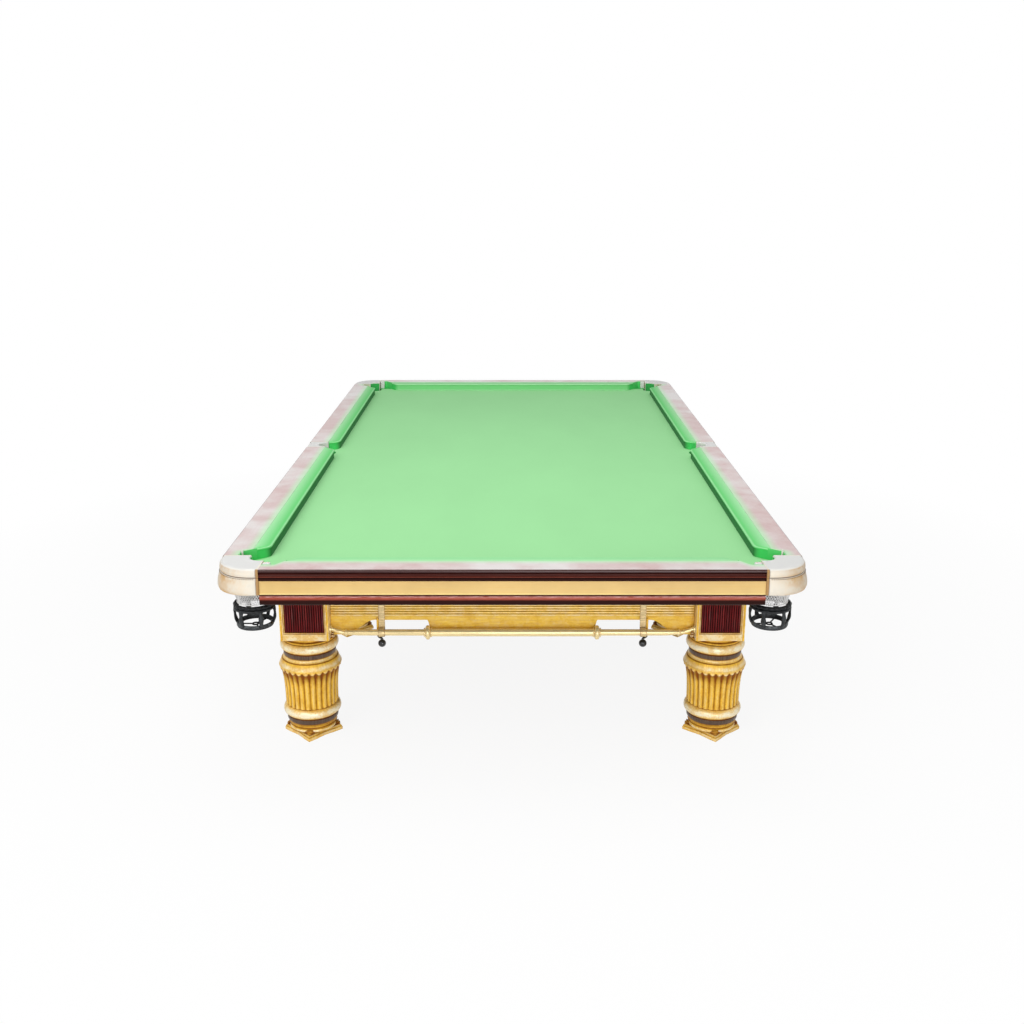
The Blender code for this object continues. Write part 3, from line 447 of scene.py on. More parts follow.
def put(tree, kind, settings=None, **inputs):
    """Adds a shader node; an input is named with _ for spaces, or n and its place, and gives its outputs."""
    made = tree.nodes.new(kind)
    for key, value in (settings or {}).items():
        setattr(made, key, value)
    for key, value in inputs.items():
        place = int(key[1:]) if key[1:].isdigit() else key.replace("_", " ")
        plug(tree, made.inputs[place], value)
    return made.outputs


def reckon(tree, operation, a, b=0.0, c=0.0, clamp=False):
    return put(tree, "ShaderNodeMath", {"operation": operation, "use_clamp": clamp}, n0=a, n1=b, n2=c)[0]


def blended(tree, share, a, b, mode="MIX"):
    return put(tree, "ShaderNodeMix", {"data_type": "RGBA", "blend_type": mode}, n0=share, n6=a, n7=b)[2]


def spread(tree, value, low, high, to_low=0.0, to_high=1.0):
    """Maps a value from one range to another, and stops at its ends."""
    return put(tree, "ShaderNodeMapRange", Value=value, n1=low, n2=high, n3=to_low, n4=to_high)[0]


def noise(tree, vector, scale, detail, roughness=0.5):
    return put(tree, "ShaderNodeTexNoise", Vector=vector, Scale=scale, Detail=detail, Roughness=roughness)[0]


def mottle(tree, place, scale):
    """Soft patches: two sizes of noise added together, as a mask about one half."""
    wide = noise(tree, place, scale, 3.0)
    fine = noise(tree, place, reckon(tree, "MULTIPLY", scale, 5.3), 4.0)
    return {"Mask": reckon(tree, "MULTIPLY_ADD", fine, 0.35, reckon(tree, "MULTIPLY", wide, 0.65))}


def streaks(tree, place, across, along):
    """Brush or grain lines along U: noise drawn out along the run and close set across it."""
    stretch = put(tree, "ShaderNodeCombineXYZ", X=along, Y=across, Z=across)[0]
    drawn = put(tree, "ShaderNodeVectorMath", {"operation": "MULTIPLY"}, n0=place, n1=stretch)[0]
    return {"Mask": noise(tree, drawn, 1.0, 5.0, 0.6)}


def patina(tree, place, relief, scale):
    """Dark wash left in hollows and in painted shade: the relief mask, broken up by noise and raised in the
    deepest places.
    """
    cloud = noise(tree, place, scale, 5.0)
    wash = reckon(tree, "MULTIPLY_ADD", cloud, 0.6, reckon(tree, "SUBTRACT", relief, 0.3))
    rub = reckon(tree, "MULTIPLY_ADD", cloud, 0.5, reckon(tree, "SUBTRACT", 0.35, relief))
    return {"Wash": spread(tree, wash, 0.12, 0.85), "Rub": spread(tree, rub, 0.62, 0.78, 0.0, 0.35)}


def grain(tree, place, scale):
    """Pebbled grain: the distance between neighbouring cells, with finer creases over it."""
    cells = put(tree, "ShaderNodeTexVoronoi", {"feature": "DISTANCE_TO_EDGE"}, Vector=place, Scale=scale)[0]
    crease = noise(tree, place, 90.0, 4.0)
    return {"Height": reckon(tree, "MULTIPLY_ADD", crease, 0.5, spread(tree, cells, 0.0, 0.35))}


def nap(tree, place):
    """Short cloth nap: fine noise, brushed along the table."""
    brushed = put(tree, "ShaderNodeMapping", Vector=place, Scale=(1.0, 0.45, 1.0))[0]
    fibre = noise(tree, brushed, 900.0, 3.0, 0.7)
    patch = reckon(tree, "MULTIPLY", noise(tree, brushed, 4.0, 3.0), 0.5)
    return {"Mask": reckon(tree, "MULTIPLY_ADD", fibre, 0.5, patch), "Height": fibre}


# Each effect that materials share, with its inputs after the vector
EFFECTS = {
    "mottle": (mottle, {"Scale": 5.0}),
    "streaks": (streaks, {"Across": 300.0, "Along": 6.0}),
    "patina": (patina, {"Relief": 0.0, "Scale": 40.0}),
    "grain": (grain, {"Scale": 400.0}),
    "nap": (nap, {}),
}


def effect_group(name):
    """Shader node group of a named effect, made once, with a vector and numbers in and numbers out."""
    if name in bpy.data.node_groups:
        return bpy.data.node_groups[name]
    work, inputs = EFFECTS[name]
    tree = bpy.data.node_groups.new(name, "ShaderNodeTree")
    tree.interface.new_socket("Vector", in_out="INPUT", socket_type="NodeSocketVector")
    for key, default in inputs.items():
        tree.interface.new_socket(key, in_out="INPUT", socket_type="NodeSocketFloat").default_value = default
    given = put(tree, "NodeGroupInput")
    made = work(tree, *(given[key] for key in ("Vector", *inputs)))
    for key in made:
        tree.interface.new_socket(key, in_out="OUTPUT", socket_type="NodeSocketFloat")
    put(tree, "NodeGroupOutput", **made)
    return tree


def shade(rgb, factor):
    return tuple(min(1.0, v * factor) for v in rgb)


class Finish:
    """One material: its shader, the coordinates that patterns follow, and a base colour laid coat by coat."""

    def __init__(self, name):
        self.material = bpy.data.materials.new(name)
        self.material.use_nodes = True
        self.tree = self.material.node_tree
        self.shader = self.tree.nodes["Principled BSDF"]
        coordinates = put(self.tree, "ShaderNodeTexCoord")
        self.place, self.uv = coordinates["Object"], coordinates["UV"]
        self.base = None

    def effect(self, name, vector, **inputs):
        return put(self.tree, "ShaderNodeGroup", {"node_tree": effect_group(name)}, Vector=vector, **inputs)

    def streaks(self, across, along, vector=None):
        return self.effect("streaks", self.uv if vector is None else vector, Across=across, Along=along)[0]

    def mottle(self, scale, vector=None):
        return self.effect("mottle", self.place if vector is None else vector, Scale=scale)[0]

    def patina(self, scale):
        return self.effect("patina", self.place, Relief=self.mask("relief"), Scale=scale)

    def wave(self, vector, scale, distortion=0.0, **settings):
        sizes = {"Scale": scale, "Distortion": distortion}
        return put(self.tree, "ShaderNodeTexWave", settings, Vector=vector, **sizes)[1]

    def mask(self, name):
        return put(self.tree, "ShaderNodeAttribute", {"attribute_name": name})["Fac"]

    def spread(self, value, low, high, to_low=0.0, to_high=1.0):
        return spread(self.tree, value, low, high, to_low, to_high)

    def times(self, a, b, clamp=False):
        return reckon(self.tree, "MULTIPLY", a, b, clamp=clamp)

    def mix(self, share, a, b, mode="MIX"):
        return blended(self.tree, share, a, b, mode)

    def lay(self, share, a, b):
        """First coat, from one colour to another."""
        self.base = self.mix(share, a, b)

    def coat(self, share, tone):
        """One more coat over the base, where its share says so."""
        self.base = self.mix(share, self.base, tone)

    def done(self, height, depth, strength, **settings):
        """Sets the shader, with a bump of the given depth."""
        bump = put(self.tree, "ShaderNodeBump", Strength=strength, Distance=depth, Height=height)[0]
        for key, value in {"Base_Color": self.base, "Normal": bump, **settings}.items():
            plug(self.tree, self.shader.inputs[key.replace("_", " ")], value)


def finish(name):
    """Finish by name, made once from the scene's colours; a prefix tells it from the frame's materials."""
    full = "finish_" + name
    if full not in bpy.data.materials:
        colours = bpy.context.scene.table_colours
        tones = SimpleNamespace(**{key: tuple(getattr(colours, key)) for key in TableColours.__annotations__})
        FINISHES[name](Finish(full), tones)
    return bpy.data.materials[full]


def cloth(made, tone, dark, vivid, pale):
    """Napped cloth: wear lays a pale painted highlight, tint the painted shade under a nose and in the pockets,
    and relief the green of a jaw.
    """
    mask, height = made.effect("nap", made.place)
    made.lay(made.mask("wear"), tone, pale)
    made.coat(made.mask("relief"), vivid)
    made.coat(made.mask("tint"), dark)
    made.lay(made.spread(mask, 0.35, 0.65), made.mix(1.0, made.base, (0.95, 0.95, 0.95), "MULTIPLY"), made.base)
    sheen = {"Sheen_Weight": 0.08, "Sheen_Roughness": 0.4, "Sheen_Tint": (0.8, 1.0, 0.8)}
    made.done(height, 0.0006, 0.5, Roughness=0.95, Specular_IOR_Level=0.12, **sheen)


def bed_cloth(made, c):
    cloth(made, c.bed, c.shade, c.cushion, c.bed)


def cushion_cloth(made, c):
    cloth(made, c.cushion, c.shade, c.jaw, c.cloth_highlight)


def rail_lacquer(made, c):
    """Painted reflection on dark lacquer: a pale top with broad rosy patches and fine grain; tint is a painted
    reflection of the green cloth along the cushion's edge.
    """
    lines = made.streaks(260.0, 5.0)
    moved = {"Location": (3.1, 1.7, 0.0), "Scale": (-1.0, 1.0, 1.0)}
    patch = made.mottle(1.7, put(made.tree, "ShaderNodeMapping", Vector=made.place, **moved)[0])
    made.lay(made.spread(patch, 0.42, 0.58), c.rail, c.rose_highlight)
    made.coat(made.spread(made.mottle(14.0), 0.4, 0.66, 0.0, 0.25), shade(c.rail, 1.12))
    made.coat(made.spread(lines, 0.5, 0.74, 0.0, 0.3), shade(c.rose_highlight, 0.86))
    made.coat(made.mask("tint"), c.cloth_highlight)
    made.coat(made.mask("relief"), shade(c.mahogany, 0.8))
    gloss = {"Specular_IOR_Level": 0.3, "Coat_Weight": 0.12, "Coat_Roughness": 0.1}
    made.done(lines, 0.0002, 0.25, Roughness=0.3, **gloss)


def mahogany(made, c):
    """Dark red-brown lacquer: grain lines, a reddish painted highlight where wear says so, rosy flecks of painted
    highlight, near black in the quirks and as painted shade.
    """
    lines = made.streaks(420.0, 7.0)
    fleck = made.streaks(900.0, 26.0)
    made.lay(made.spread(lines, 0.35, 0.7), shade(c.mahogany, 0.5), shade(c.mahogany, 1.5))
    rub_and_highlight = made.mix(made.spread(fleck, 0.4, 0.62), shade(c.russet_and_highlight, 0.62), c.russet_and_highlight)
    made.coat(made.mask("wear"), rub_and_highlight)
    made.coat(made.times(made.mask("tint"), made.spread(fleck, 0.46, 0.58, 0.0, 0.9)), c.rose_highlight)
    made.coat(made.mask("relief"), shade(c.mahogany, 0.3))
    gloss = {"Specular_IOR_Level": 0.14, "Specular_Tint": (1.0, 0.6, 0.5)}
    gloss.update(Coat_Weight=0.05, Coat_Roughness=0.1)
    made.done(lines, 0.0002, 0.2, Roughness=made.spread(lines, 0.3, 0.7, 0.24, 0.36), **gloss)


def gold_band(made, c):
    """Pale gold lacquer: soft patches and grain, with umber along its thin lines."""
    lines = made.streaks(240.0, 4.0)
    made.lay(made.spread(made.mottle(4.0), 0.35, 0.68), shade(c.band, 0.88), shade(c.band, 1.05))
    made.coat(made.spread(lines, 0.52, 0.75, 0.0, 0.35), c.gold)
    made.coat(made.mask("relief"), shade(c.umber, 1.2))
    gloss = {"Specular_IOR_Level": 0.3, "Coat_Weight": 0.08, "Coat_Roughness": 0.15}
    made.done(lines, 0.0003, 0.25, Roughness=0.36, **gloss)


def carved_gold(made, c, patches=0.45, painted_lift=1.0):
    """Gold lacquer on carving: umber wash in the hollows and as painted shade, cream rubbed on the crests and laid
    as painted highlight, painted rings.
    """
    tone = shade(c.gold, painted_lift)
    lines = made.streaks(140.0, 14.0)
    wash, rub = made.patina(46.0)
    cloud = made.mottle(26.0)
    made.lay(made.spread(lines, 0.38, 0.68), shade(tone, 0.84), shade(tone, 1.14))
    made.coat(made.spread(cloud, 0.5, 0.66, 0.0, patches), c.ochre)
    made.coat(rub, c.cream_rub_and_highlight)
    made.coat(made.times(made.mask("wear"), made.spread(cloud, 0.4, 0.56, 1.0, 0.35)), c.cream_rub_and_highlight)
    made.coat(wash, c.umber)
    made.coat(made.mask("tint"), made.mix(made.spread(lines, 0.4, 0.66), shade(c.ring, 0.6), c.ring))
    gloss = {"Specular_IOR_Level": 0.25, "Specular_Tint": (1.0, 0.86, 0.6)}
    gloss.update(Coat_Weight=0.05, Coat_Roughness=0.14)
    made.done(lines, 0.0005, 0.35, Roughness=made.spread(wash, 0.0, 1.0, 0.3, 0.62), Metallic=0.1, **gloss)


def apron_gold(made, c):
    """Gold lacquer on the broad boards: brighter than on the carving as painted light where the rails shade them,
    with fewer patches.
    """
    carved_gold(made, c, patches=0.3, painted_lift=1.08)


def panel_red(made, c):
    """Dark red reeds: fine upright streaks of red and near black, with rosy painted highlights on the crests."""
    lines = made.streaks(620.0, 4.0)
    made.lay(made.spread(lines, 0.42, 0.6), shade(c.panel, 0.16), c.panel)
    made.coat(made.spread(made.mottle(11.0), 0.46, 0.64, 0.0, 0.6), shade(c.panel, 0.16))
    made.coat(made.spread(lines, 0.6, 0.68, 0.0, 0.6), c.russet_and_highlight)
    made.coat(made.patina(60.0)[0], c.quirk)
    glint = made.spread(made.streaks(1100.0, 9.0), 0.54, 0.66, 0.0, 0.6)
    made.coat(made.times(made.mask("wear"), glint), c.rose_highlight)
    made.done(lines, 0.0006, 0.4, Roughness=0.34, Specular_IOR_Level=0.3, Specular_Tint=(1.0, 0.6, 0.55))


def cream_leather(made, c):
    """Pebbled leather: wear is the grey-white of the top, tint the tan of handled edges and painted shade towards
    the hem, relief the seam.
    """
    pebbles = made.effect("grain", made.place, Scale=520.0)[0]
    patch = made.mottle(14.0)
    made.lay(made.spread(patch, 0.38, 0.66), shade(c.leather, 0.88), shade(c.leather, 1.03))
    made.coat(made.mask("wear"), c.leather_top)
    made.coat(made.times(made.mask("tint"), made.spread(patch, 0.42, 0.58, 0.4, 1.3), clamp=True), c.tan)
    made.coat(made.mask("relief"), c.seam)
    made.done(pebbles, 0.0006, 0.4, Roughness=made.spread(pebbles, 0.2, 1.2, 0.64, 0.44), Specular_IOR_Level=0.3)


def leather_thread(made, c):
    """Dark thread with a fine twist."""
    twist = made.wave(made.uv, 260.0, distortion=1.0)
    made.lay(twist, shade(c.seam, 0.5), shade(c.seam, 1.6))
    made.done(twist, 0.0003, 0.5, Roughness=0.7)


def net_cord(made, c):
    """Pale cord: soft patches under a slanting twist."""
    twist = made.wave(made.uv, 190.0, bands_direction="DIAGONAL")
    made.lay(made.spread(made.mottle(30.0), 0.35, 0.65), shade(c.cord, 0.72), shade(c.cord, 1.08))
    made.coat(made.spread(twist, 0.0, 0.5, 0.35, 0.0), shade(c.cord, 0.5))
    made.done(twist, 0.0005, 0.6, Roughness=0.85, Sheen_Weight=0.2)


def black_basket(made, c):
    """Black plastic: dull patches, grey rub and painted highlight on upper faces where tint says so, and a lighter
    black as rub and painted highlight on the collar's lumps.
    """
    patch = made.mottle(60.0)
    made.lay(made.spread(patch, 0.45, 0.7), shade(c.basket, 0.5), shade(c.basket, 1.8))
    made.coat(made.times(made.mask("tint"), made.spread(patch, 0.35, 0.6)), c.basket_rub)
    made.coat(made.mask("wear"), shade(c.basket, 3.2))
    made.done(patch, 0.0006, 0.4, Roughness=made.spread(patch, 0.3, 0.7, 0.35, 0.55), Specular_IOR_Level=0.2)


def black_hook(made, c):
    """Black paint with worn patches; wear is the part in gold."""
    patch = made.mottle(120.0)
    made.lay(made.spread(patch, 0.5, 0.75), c.hook, shade(c.hook, 3.0))
    made.coat(made.mask("wear"), c.gold)
    made.done(patch, 0.0003, 0.3, Roughness=made.spread(patch, 0.35, 0.7, 0.22, 0.42), Coat_Weight=0.25)


def polished_brass(made, c):
    """Brushed brass with umber left in its hollows."""
    lines = made.streaks(300.0, 8.0, made.place)
    made.lay(made.spread(lines, 0.4, 0.7), shade(c.brass, 0.86), shade(c.brass, 1.05))
    made.coat(made.patina(70.0)[0], c.umber)
    made.done(lines, 0.0002, 0.2, Roughness=made.spread(lines, 0.3, 0.7, 0.2, 0.34), Metallic=0.35)


def honed_slate(made, c):
    """Grey slate in soft patches."""
    patch = made.mottle(9.0)
    made.lay(patch, shade(c.slate, 0.7), shade(c.slate, 1.3))
    made.done(patch, 0.0008, 0.3, Roughness=0.72)


def plain_timber(made, c):
    """Sawn timber with open grain."""
    lines = made.streaks(90.0, 4.0, made.place)
    made.lay(made.spread(lines, 0.35, 0.7), shade(c.timber, 0.6), shade(c.timber, 1.15))
    made.done(lines, 0.0008, 0.3, Roughness=0.66)


def screw_steel(made, c):
    """Steel with the rings of a thread."""
    thread = made.wave(made.place, 160.0, bands_direction="Z")
    made.lay(thread, shade(c.steel, 0.5), c.steel)
    made.done(thread, 0.001, 0.8, Roughness=0.35, Metallic=1.0)


CLOTHS = (bed_cloth, cushion_cloth, cream_leather, leather_thread, net_cord)
LACQUERS = (rail_lacquer, mahogany, gold_band, carved_gold, apron_gold, panel_red)
PLAIN = (black_basket, black_hook, polished_brass, honed_slate, plain_timber, screw_steel)
FINISHES = {maker.__name__: maker for maker in CLOTHS + LACQUERS + PLAIN}


Rail = namedtuple("Rail", "out run face start end")
End = namedtuple("End", "at pocket")
Pocket = namedtuple("Pocket", "kind net way")
RAIL_STEPS = 20
MOULDING_STEPS = 12
CORNER_STEPS = 28
MIDDLE_STEPS = 30


def rails():
    """Each rail by name: outward direction, direction along it, outer face, and two ends with their pockets."""
    ends = End(HALF_WIDTH - CORNER_REACH - SEAT, "corner")
    sides = End(HALF_LENGTH - CORNER_REACH - SEAT, "corner")
    near = End(MIDDLE_REACH + SEAT, "middle")
    found = {}
    for end, way in ENDS.items():
        found[end] = Rail((0, way), (1, 0), HALF_LENGTH, End(-ends.at, "corner"), ends)
    for side, way in SIDES.items():
        before, after = End(-sides.at, "corner"), End(-near.at, "middle")
        found[side + "_front"] = Rail((way, 0), (0, 1), HALF_WIDTH, before, after)
        found[side + "_rear"] = Rail((way, 0), (0, 1), HALF_WIDTH, near, sides)
    return found


def pockets():
    """Each pocket by name: kind, the axis of its net in plan and its two directions."""
    found = {}
    for side, x_way in SIDES.items():
        for end, y_way in ENDS.items():
            way = np.array((x_way, y_way))
            found[f"{end}_{side}"] = Pocket("corner", CORNER_NET * way, way)
        way = np.array((x_way, 1))
        found[f"middle_{side}"] = Pocket("middle", MIDDLE_POCKET * way, way)
    return found


def on_rail(rail, depth, along, height):
    """Points of a rail from arrays of depth from the outer face, distance along and height."""
    depth, along, height = np.broadcast_arrays(depth, along, height)
    x, y = (rail.out[k] * (rail.face - depth) + rail.run[k] * along for k in (0, 1))
    return np.stack((x, y, height), -1)


def rail_stations(rail):
    """Distances along a rail, with extra ones where a corner's mouth narrows the wood."""
    bends = {"corner": np.array((0.0, JAW_NOTCH, JAW_START)), "middle": np.zeros(1)}
    first = rail.start.at + bends[rail.start.pocket]
    last = rail.end.at - bends[rail.end.pocket][::-1]
    return run_on(first, np.linspace(first[-1], last[0], RAIL_STEPS)[1:-1], last)


def wood_depth(rail, along):
    """Depth of the rail's top by station: full, less a corner mouth's flare, which fades along its slant."""
    depth = np.full(len(along), WOOD_DEPTH)
    for end in (rail.start, rail.end):
        if end.pocket == "corner":
            slant = ramp(np.abs(along - end.at), JAW_NOTCH, JAW_START)
            depth = np.minimum(depth, WOOD_DEPTH - JAW_FLARE * (1 - slant))
    return depth - SEAT


def rail_core(rail):
    """Rail's wood: a flat top with a rounded outer edge, its inner edge bitten by the pocket mouths.

    Gives the points, with masks for the painted reflection of the green cloth, strongest at the cushion's edge,
    and for which are on the hidden back.
    """
    along = rail_stations(rail)
    inner = wood_depth(rail, along)[:, None]
    rows = np.ones_like(inner)
    full = rows * (WOOD_DEPTH - SEAT)
    edge = 0.008
    under = [(0.0, RAIL_TOP - 0.0105), (0.002, RAIL_TOP - TOP_BOARD), (CORE_FACE, RAIL_TOP - TOP_BOARD)]
    outer = joined(arc((edge, RAIL_TOP - edge), edge, 90, 180, 9), under)
    top = 0.010 + (inner - 0.0105) * np.linspace(1, 0, 18) ** 1.4
    depth = np.concatenate((CORE_FACE * rows, full, full, inner, inner, top, rows * outer[:, 0]), 1)
    low = FASCIA_BOTTOM + SEAT
    levels = run_on(low, low, BED_TOP, BED_TOP, RAIL_TOP - 0.0005, np.full(18, RAIL_TOP), outer[:, 1])
    # Painted reflection of the green cloth, fading away from the cushion's edge.
    near = ramp(inner - depth, 0.036, 0.0) ** 1.3 * (levels > RAIL_TOP - 0.0004)
    hidden = np.zeros(len(levels))
    hidden[:4] = 1.0
    hidden[-10:] = run_on(0.5, np.ones(9))
    return on_rail(rail, depth, along[:, None], levels), {"tint": near * 0.85, "relief": hidden}


def crown_section():
    """Crown moulding: a fillet under the top, a shallow cove, a small bead, a flat and a lip over the fascia.

    As for the other mouldings, gives a section of (depth, height) with masks for its quirks, the painted shade
    under its flat and a painted highlight on its small bead.
    """
    high, lip, low = RAIL_TOP - 0.0122, CROWN_BOTTOM - 0.0038, CROWN_BOTTOM + 0.0004
    cove = arc((-0.002, high - 0.007), 0.006, 80, -60, 9)
    bead = arc((0.0028, high - 0.0155), 0.0028, 110, 250, 8)
    flat = mm(((3.5, -18.6), (0.8, -19.6)), (0, high))
    edge = mm(((0.8, 1.6), (1.8, 0), (3.1, 0)), (0, lip))
    start, stop = [(MOULDING_BACK, high), (0.001, high)], [(0.0031, low), (MOULDING_BACK, low)]
    section = joined(start, cove, bead, flat, edge, stop)
    z = section[:, 1] - high
    # Dark quirks at the fillet and at the flat, painted shade under the flat and on the lip, and a painted
    # highlight along the small bead.
    quirk = peak(z, 0.0, 0.0012) + peak(z, -0.0188, 0.0016) + 0.75 * ramp(z, -0.0186, -0.0206)
    return section, {"relief": np.clip(quirk, 0, 1), "wear": 0.5 * peak(z, -0.0150, 0.0012)}


def fascia_section():
    """Fascia: a flat band, sunk by a millimetre between two raised edges."""
    low, high = FASCIA_BOTTOM + SEAT, CROWN_BOTTOM
    edge = mm(((1.2, 0), (0.2, 1.0), (0.2, 4.2), (1.2, 4.8)), (FASCIA_SET_IN, 0))
    upper, lower = edge * (1, -1) + (0, high), edge[::-1] + (0, low)
    section = joined([(MOULDING_BACK, high)], upper, lower, [(MOULDING_BACK, low)])
    lines = np.zeros(len(section))
    lines[[1, 4, 5, 8]] = (0.8, 0.45, 0.35, 0.5)
    return section, {"relief": lines}


def bead_section():
    """Bead: half an oval from the fascia down to the rail's lowest edge."""
    half = (FASCIA_BOTTOM - BEAD_BOTTOM) / 2
    nose = arc((0, 0), 1.0, 90, 270, 19) * (BEAD_REACH, half) + (FASCIA_SET_IN, FASCIA_BOTTOM - half)
    section = joined([(MOULDING_BACK, FASCIA_BOTTOM)], nose, [(MOULDING_BACK, BEAD_BOTTOM)])
    high = (section[:, 1] - BEAD_BOTTOM) / (2 * half)
    # Painted shade darkens the lower half, and the top quirk is a dark joint; a reddish painted highlight on the
    # upper half, with rosy painted flecks near the top.
    quirk = np.clip(np.maximum((0.52 - high) / 0.12, (high - 0.97) / 0.03), 0, 0.9)
    return section, {"relief": quirk, "wear": peak(high, 0.74, 0.17, 4), "tint": peak(high, 0.86, 0.07)}


MOULDINGS = {
    "crown": (crown_section, "mahogany"),
    "fascia": (fascia_section, "gold_band"),
    "bead": (bead_section, "mahogany"),
}


class TABLE_OT_rails(bpy.types.Operator):
    """Build the rail tops, crown mouldings, gold fascias and lower beads"""

    bl_idname = "table.rails"
    bl_label = "Rails"

    def execute(self, context):
        for name, rail in rails().items():
            node = "cushion_rail_" + name
            points, masks = rail_core(rail)
            Skin().solid(points, **masks).make("rail_top_" + name, "rail_lacquer", node=node)
            stations = np.linspace(rail.start.at, rail.end.at, MOULDING_STEPS)[:, None]
            for part, (work, tone) in MOULDINGS.items():
                section, masks = work()
                points = on_rail(rail, section[:, 0], stations, section[:, 1])
                Skin().solid(points, **masks).make(f"rail_{part}_{name}", tone, node=node)
        return {"FINISHED"}


def jaw(kind):
    """Cushion's end by station: distance short of the rail's end, and depth from the wood, into the pocket."""
    tip = CUSHION_DEPTH / 12
    if kind == "corner":
        tangent = JAW_ROUND * math.tan(math.radians(JAW_ANGLE) / 2)
        centre = (JAW_START + CUSHION_DEPTH / JAW_SLOPE + tangent, CUSHION_DEPTH - JAW_ROUND)
        turn = arc(centre, JAW_ROUND, 90 + JAW_ANGLE, 90, 16)
        first = (JAW_START + tip / JAW_SLOPE, tip)
    else:
        turn = arc((CUSHION_DEPTH, 0.0), CUSHION_DEPTH, 160, 90, 18)
        first = (0.0, tip)
    return joined(np.linspace(first, turn[0], 8)[:-1], turn)


def cushion_section(depth):
    """Cushion by its depth from the wood, for many depths at once.

    A falling top, an oval nose and a face that leans back under it to the bed.
    """
    depth = np.asarray(depth, float)[:, None]
    level = 0 * depth
    top, foot, nose_z = RAIL_TOP - SEAT, BED_TOP + SEAT, RAIL_TOP - 0.009
    nose_out, nose_up = 0.005, 0.0048
    t = np.linspace(0, 1, 9)
    a = np.radians(np.linspace(80, -70, 9))
    before = np.maximum(depth - nose_out, 0.001)
    upper = np.stack((SEAT + before * t, level + top - (top - nose_z - nose_up) * t**1.6), -1)
    nose = np.stack((before + nose_out * np.cos(a), level + nose_z + nose_up * np.sin(a)), -1)
    toe = np.stack((depth * 0.95, level + foot), -1)
    under = nose[:, -1:] + (toe - nose[:, -1:]) * np.linspace(0.12, 1, 7)[:, None]
    back = np.stack((level + SEAT, level + foot), -1)
    return np.concatenate((upper, nose, under, back), 1)


def lining_path(inset):
    """Corner mouth's wall in plan: (depth, distance short of the rail's end), its side and then its slant."""
    side = WOOD_DEPTH - JAW_FLARE
    way = unit(np.array((JAW_FLARE, JAW_START - JAW_NOTCH)))
    inward = np.array((way[1], -way[0]))
    corner = (side + inset, JAW_NOTCH - inset * (1 - way[1]) / way[0])
    start, stop = np.array((side, JAW_NOTCH)), np.array((WOOD_DEPTH, JAW_START)) + way * 0.012
    straight = np.linspace((side + inset, 0.0006), (side + inset, corner[1] - 0.004), 5)
    slant = np.linspace(start + inward * inset + way * 0.004, stop + inward * inset * 0.2, 8)
    return joined(straight, [corner], slant)


class TABLE_OT_cushions(bpy.types.Operator):
    """Build the cloth-covered cushions, with jaws that run into the pockets, and the corner linings"""

    bl_idname = "table.cushions"
    bl_label = "Cushions"

    def execute(self, context):
        for name, rail in rails().items():
            first, last = jaw(rail.start.pocket), jaw(rail.end.pocket)[::-1]
            run = np.linspace(rail.start.at + first[-1, 0], rail.end.at - last[0, 0], 30)[1:-1]
            along = run_on(rail.start.at + first[:, 0], run, rail.end.at - last[:, 0])
            depth = run_on(first[:, 1], np.full(len(run), CUSHION_DEPTH), last[:, 1])
            section = cushion_section(depth)
            points = on_rail(rail, WOOD_DEPTH + section[..., 0], along[:, None], section[..., 1])
            shape = Skin().solid(points, **self.tones(name in ENDS, depth))
            piece = shape.make("cushion_cloth_" + name, "cushion_cloth", node="cushion_" + name)
            lining = Skin()
            for end, way in ((rail.start, 1), (rail.end, -1)):
                if end.pocket == "corner":
                    self.line_mouth(lining, rail, end.at, way)
            piece = lining.make("jaw_lining_" + name, "cushion_cloth")
        return {"FINISHED"}

    def tones(self, at_end, depth):
        """Masks by column: painted highlight on the top by the rail and along the nose, painted shade below the
        nose, and a deep green face at a jaw.
        """
        open_face = ramp(depth / CUSHION_DEPTH, 0.55, 0.99)[:, None] ** 2
        below = run_on(np.zeros(11), np.linspace(0.1, 1.0, 7), np.ones(8))
        # End cushions: little painted shade, and painted highlight on the top, the nose, the face below it and the
        # foot.
        if at_end:
            shaded = 0.06
            pale = run_on(np.linspace(1.0, 0.6, 8), np.ones(5), 0.7, 0.3, np.full(8, 0.4), 0.8, 1.0, 1.0)
        else:
            # Side cushions: strong painted shade below the nose, and painted highlight by the rail and along the
            # nose.
            shaded = 0.95
            pale = run_on(np.linspace(1, 0, 8), 0.5, np.linspace(0.9, 0.2, 5), np.zeros(12))
        green = np.clip(below * 1.3, 0, 1) * (1 - open_face)
        return {"tint": below * open_face * shaded, "relief": green, "wear": pale}

    def line_mouth(self, shape, rail, place, way):
        """Lining of a corner's mouth: a thin wall with a rounded top, and a flat strip on the floor."""
        low, top = BED_TOP + SEAT, RAIL_TOP - 0.0004 - LINING
        path, inner = lining_path(0.0), lining_path(2 * LINING)
        a = np.linspace(np.pi, 0, 7)
        across = run_on(0.0, 0.5 + 0.5 * np.cos(a), 1.0)
        plan = path[:, None] + (inner - path)[:, None] * across[:, None]
        height = run_on(low, top + LINING * np.sin(a), low)
        face = run_on(1.0, 0.6, np.zeros(5), 0.6, 1.0)
        points = on_rail(rail, plan[..., 0], place + way * plan[..., 1], height)
        # Jaw green low on the wall, and a pale painted highlight along its rounded top.
        shape.solid(points, relief=face, wear=0.7 * (1 - face))
        start, side, corner = 0.0006, WOOD_DEPTH - 0.001, inner[5]
        floor = np.array(((corner[0], start), corner, (side, JAW_START - 0.004), (side, start)))
        outline = on_rail(rail, floor[:, 0], place + way * floor[:, 1], low)
        # Floor strip in jaw green with a little painted shade.
        shape.board(outline, (0, 0, 0.0012), relief=1.0, tint=0.25)


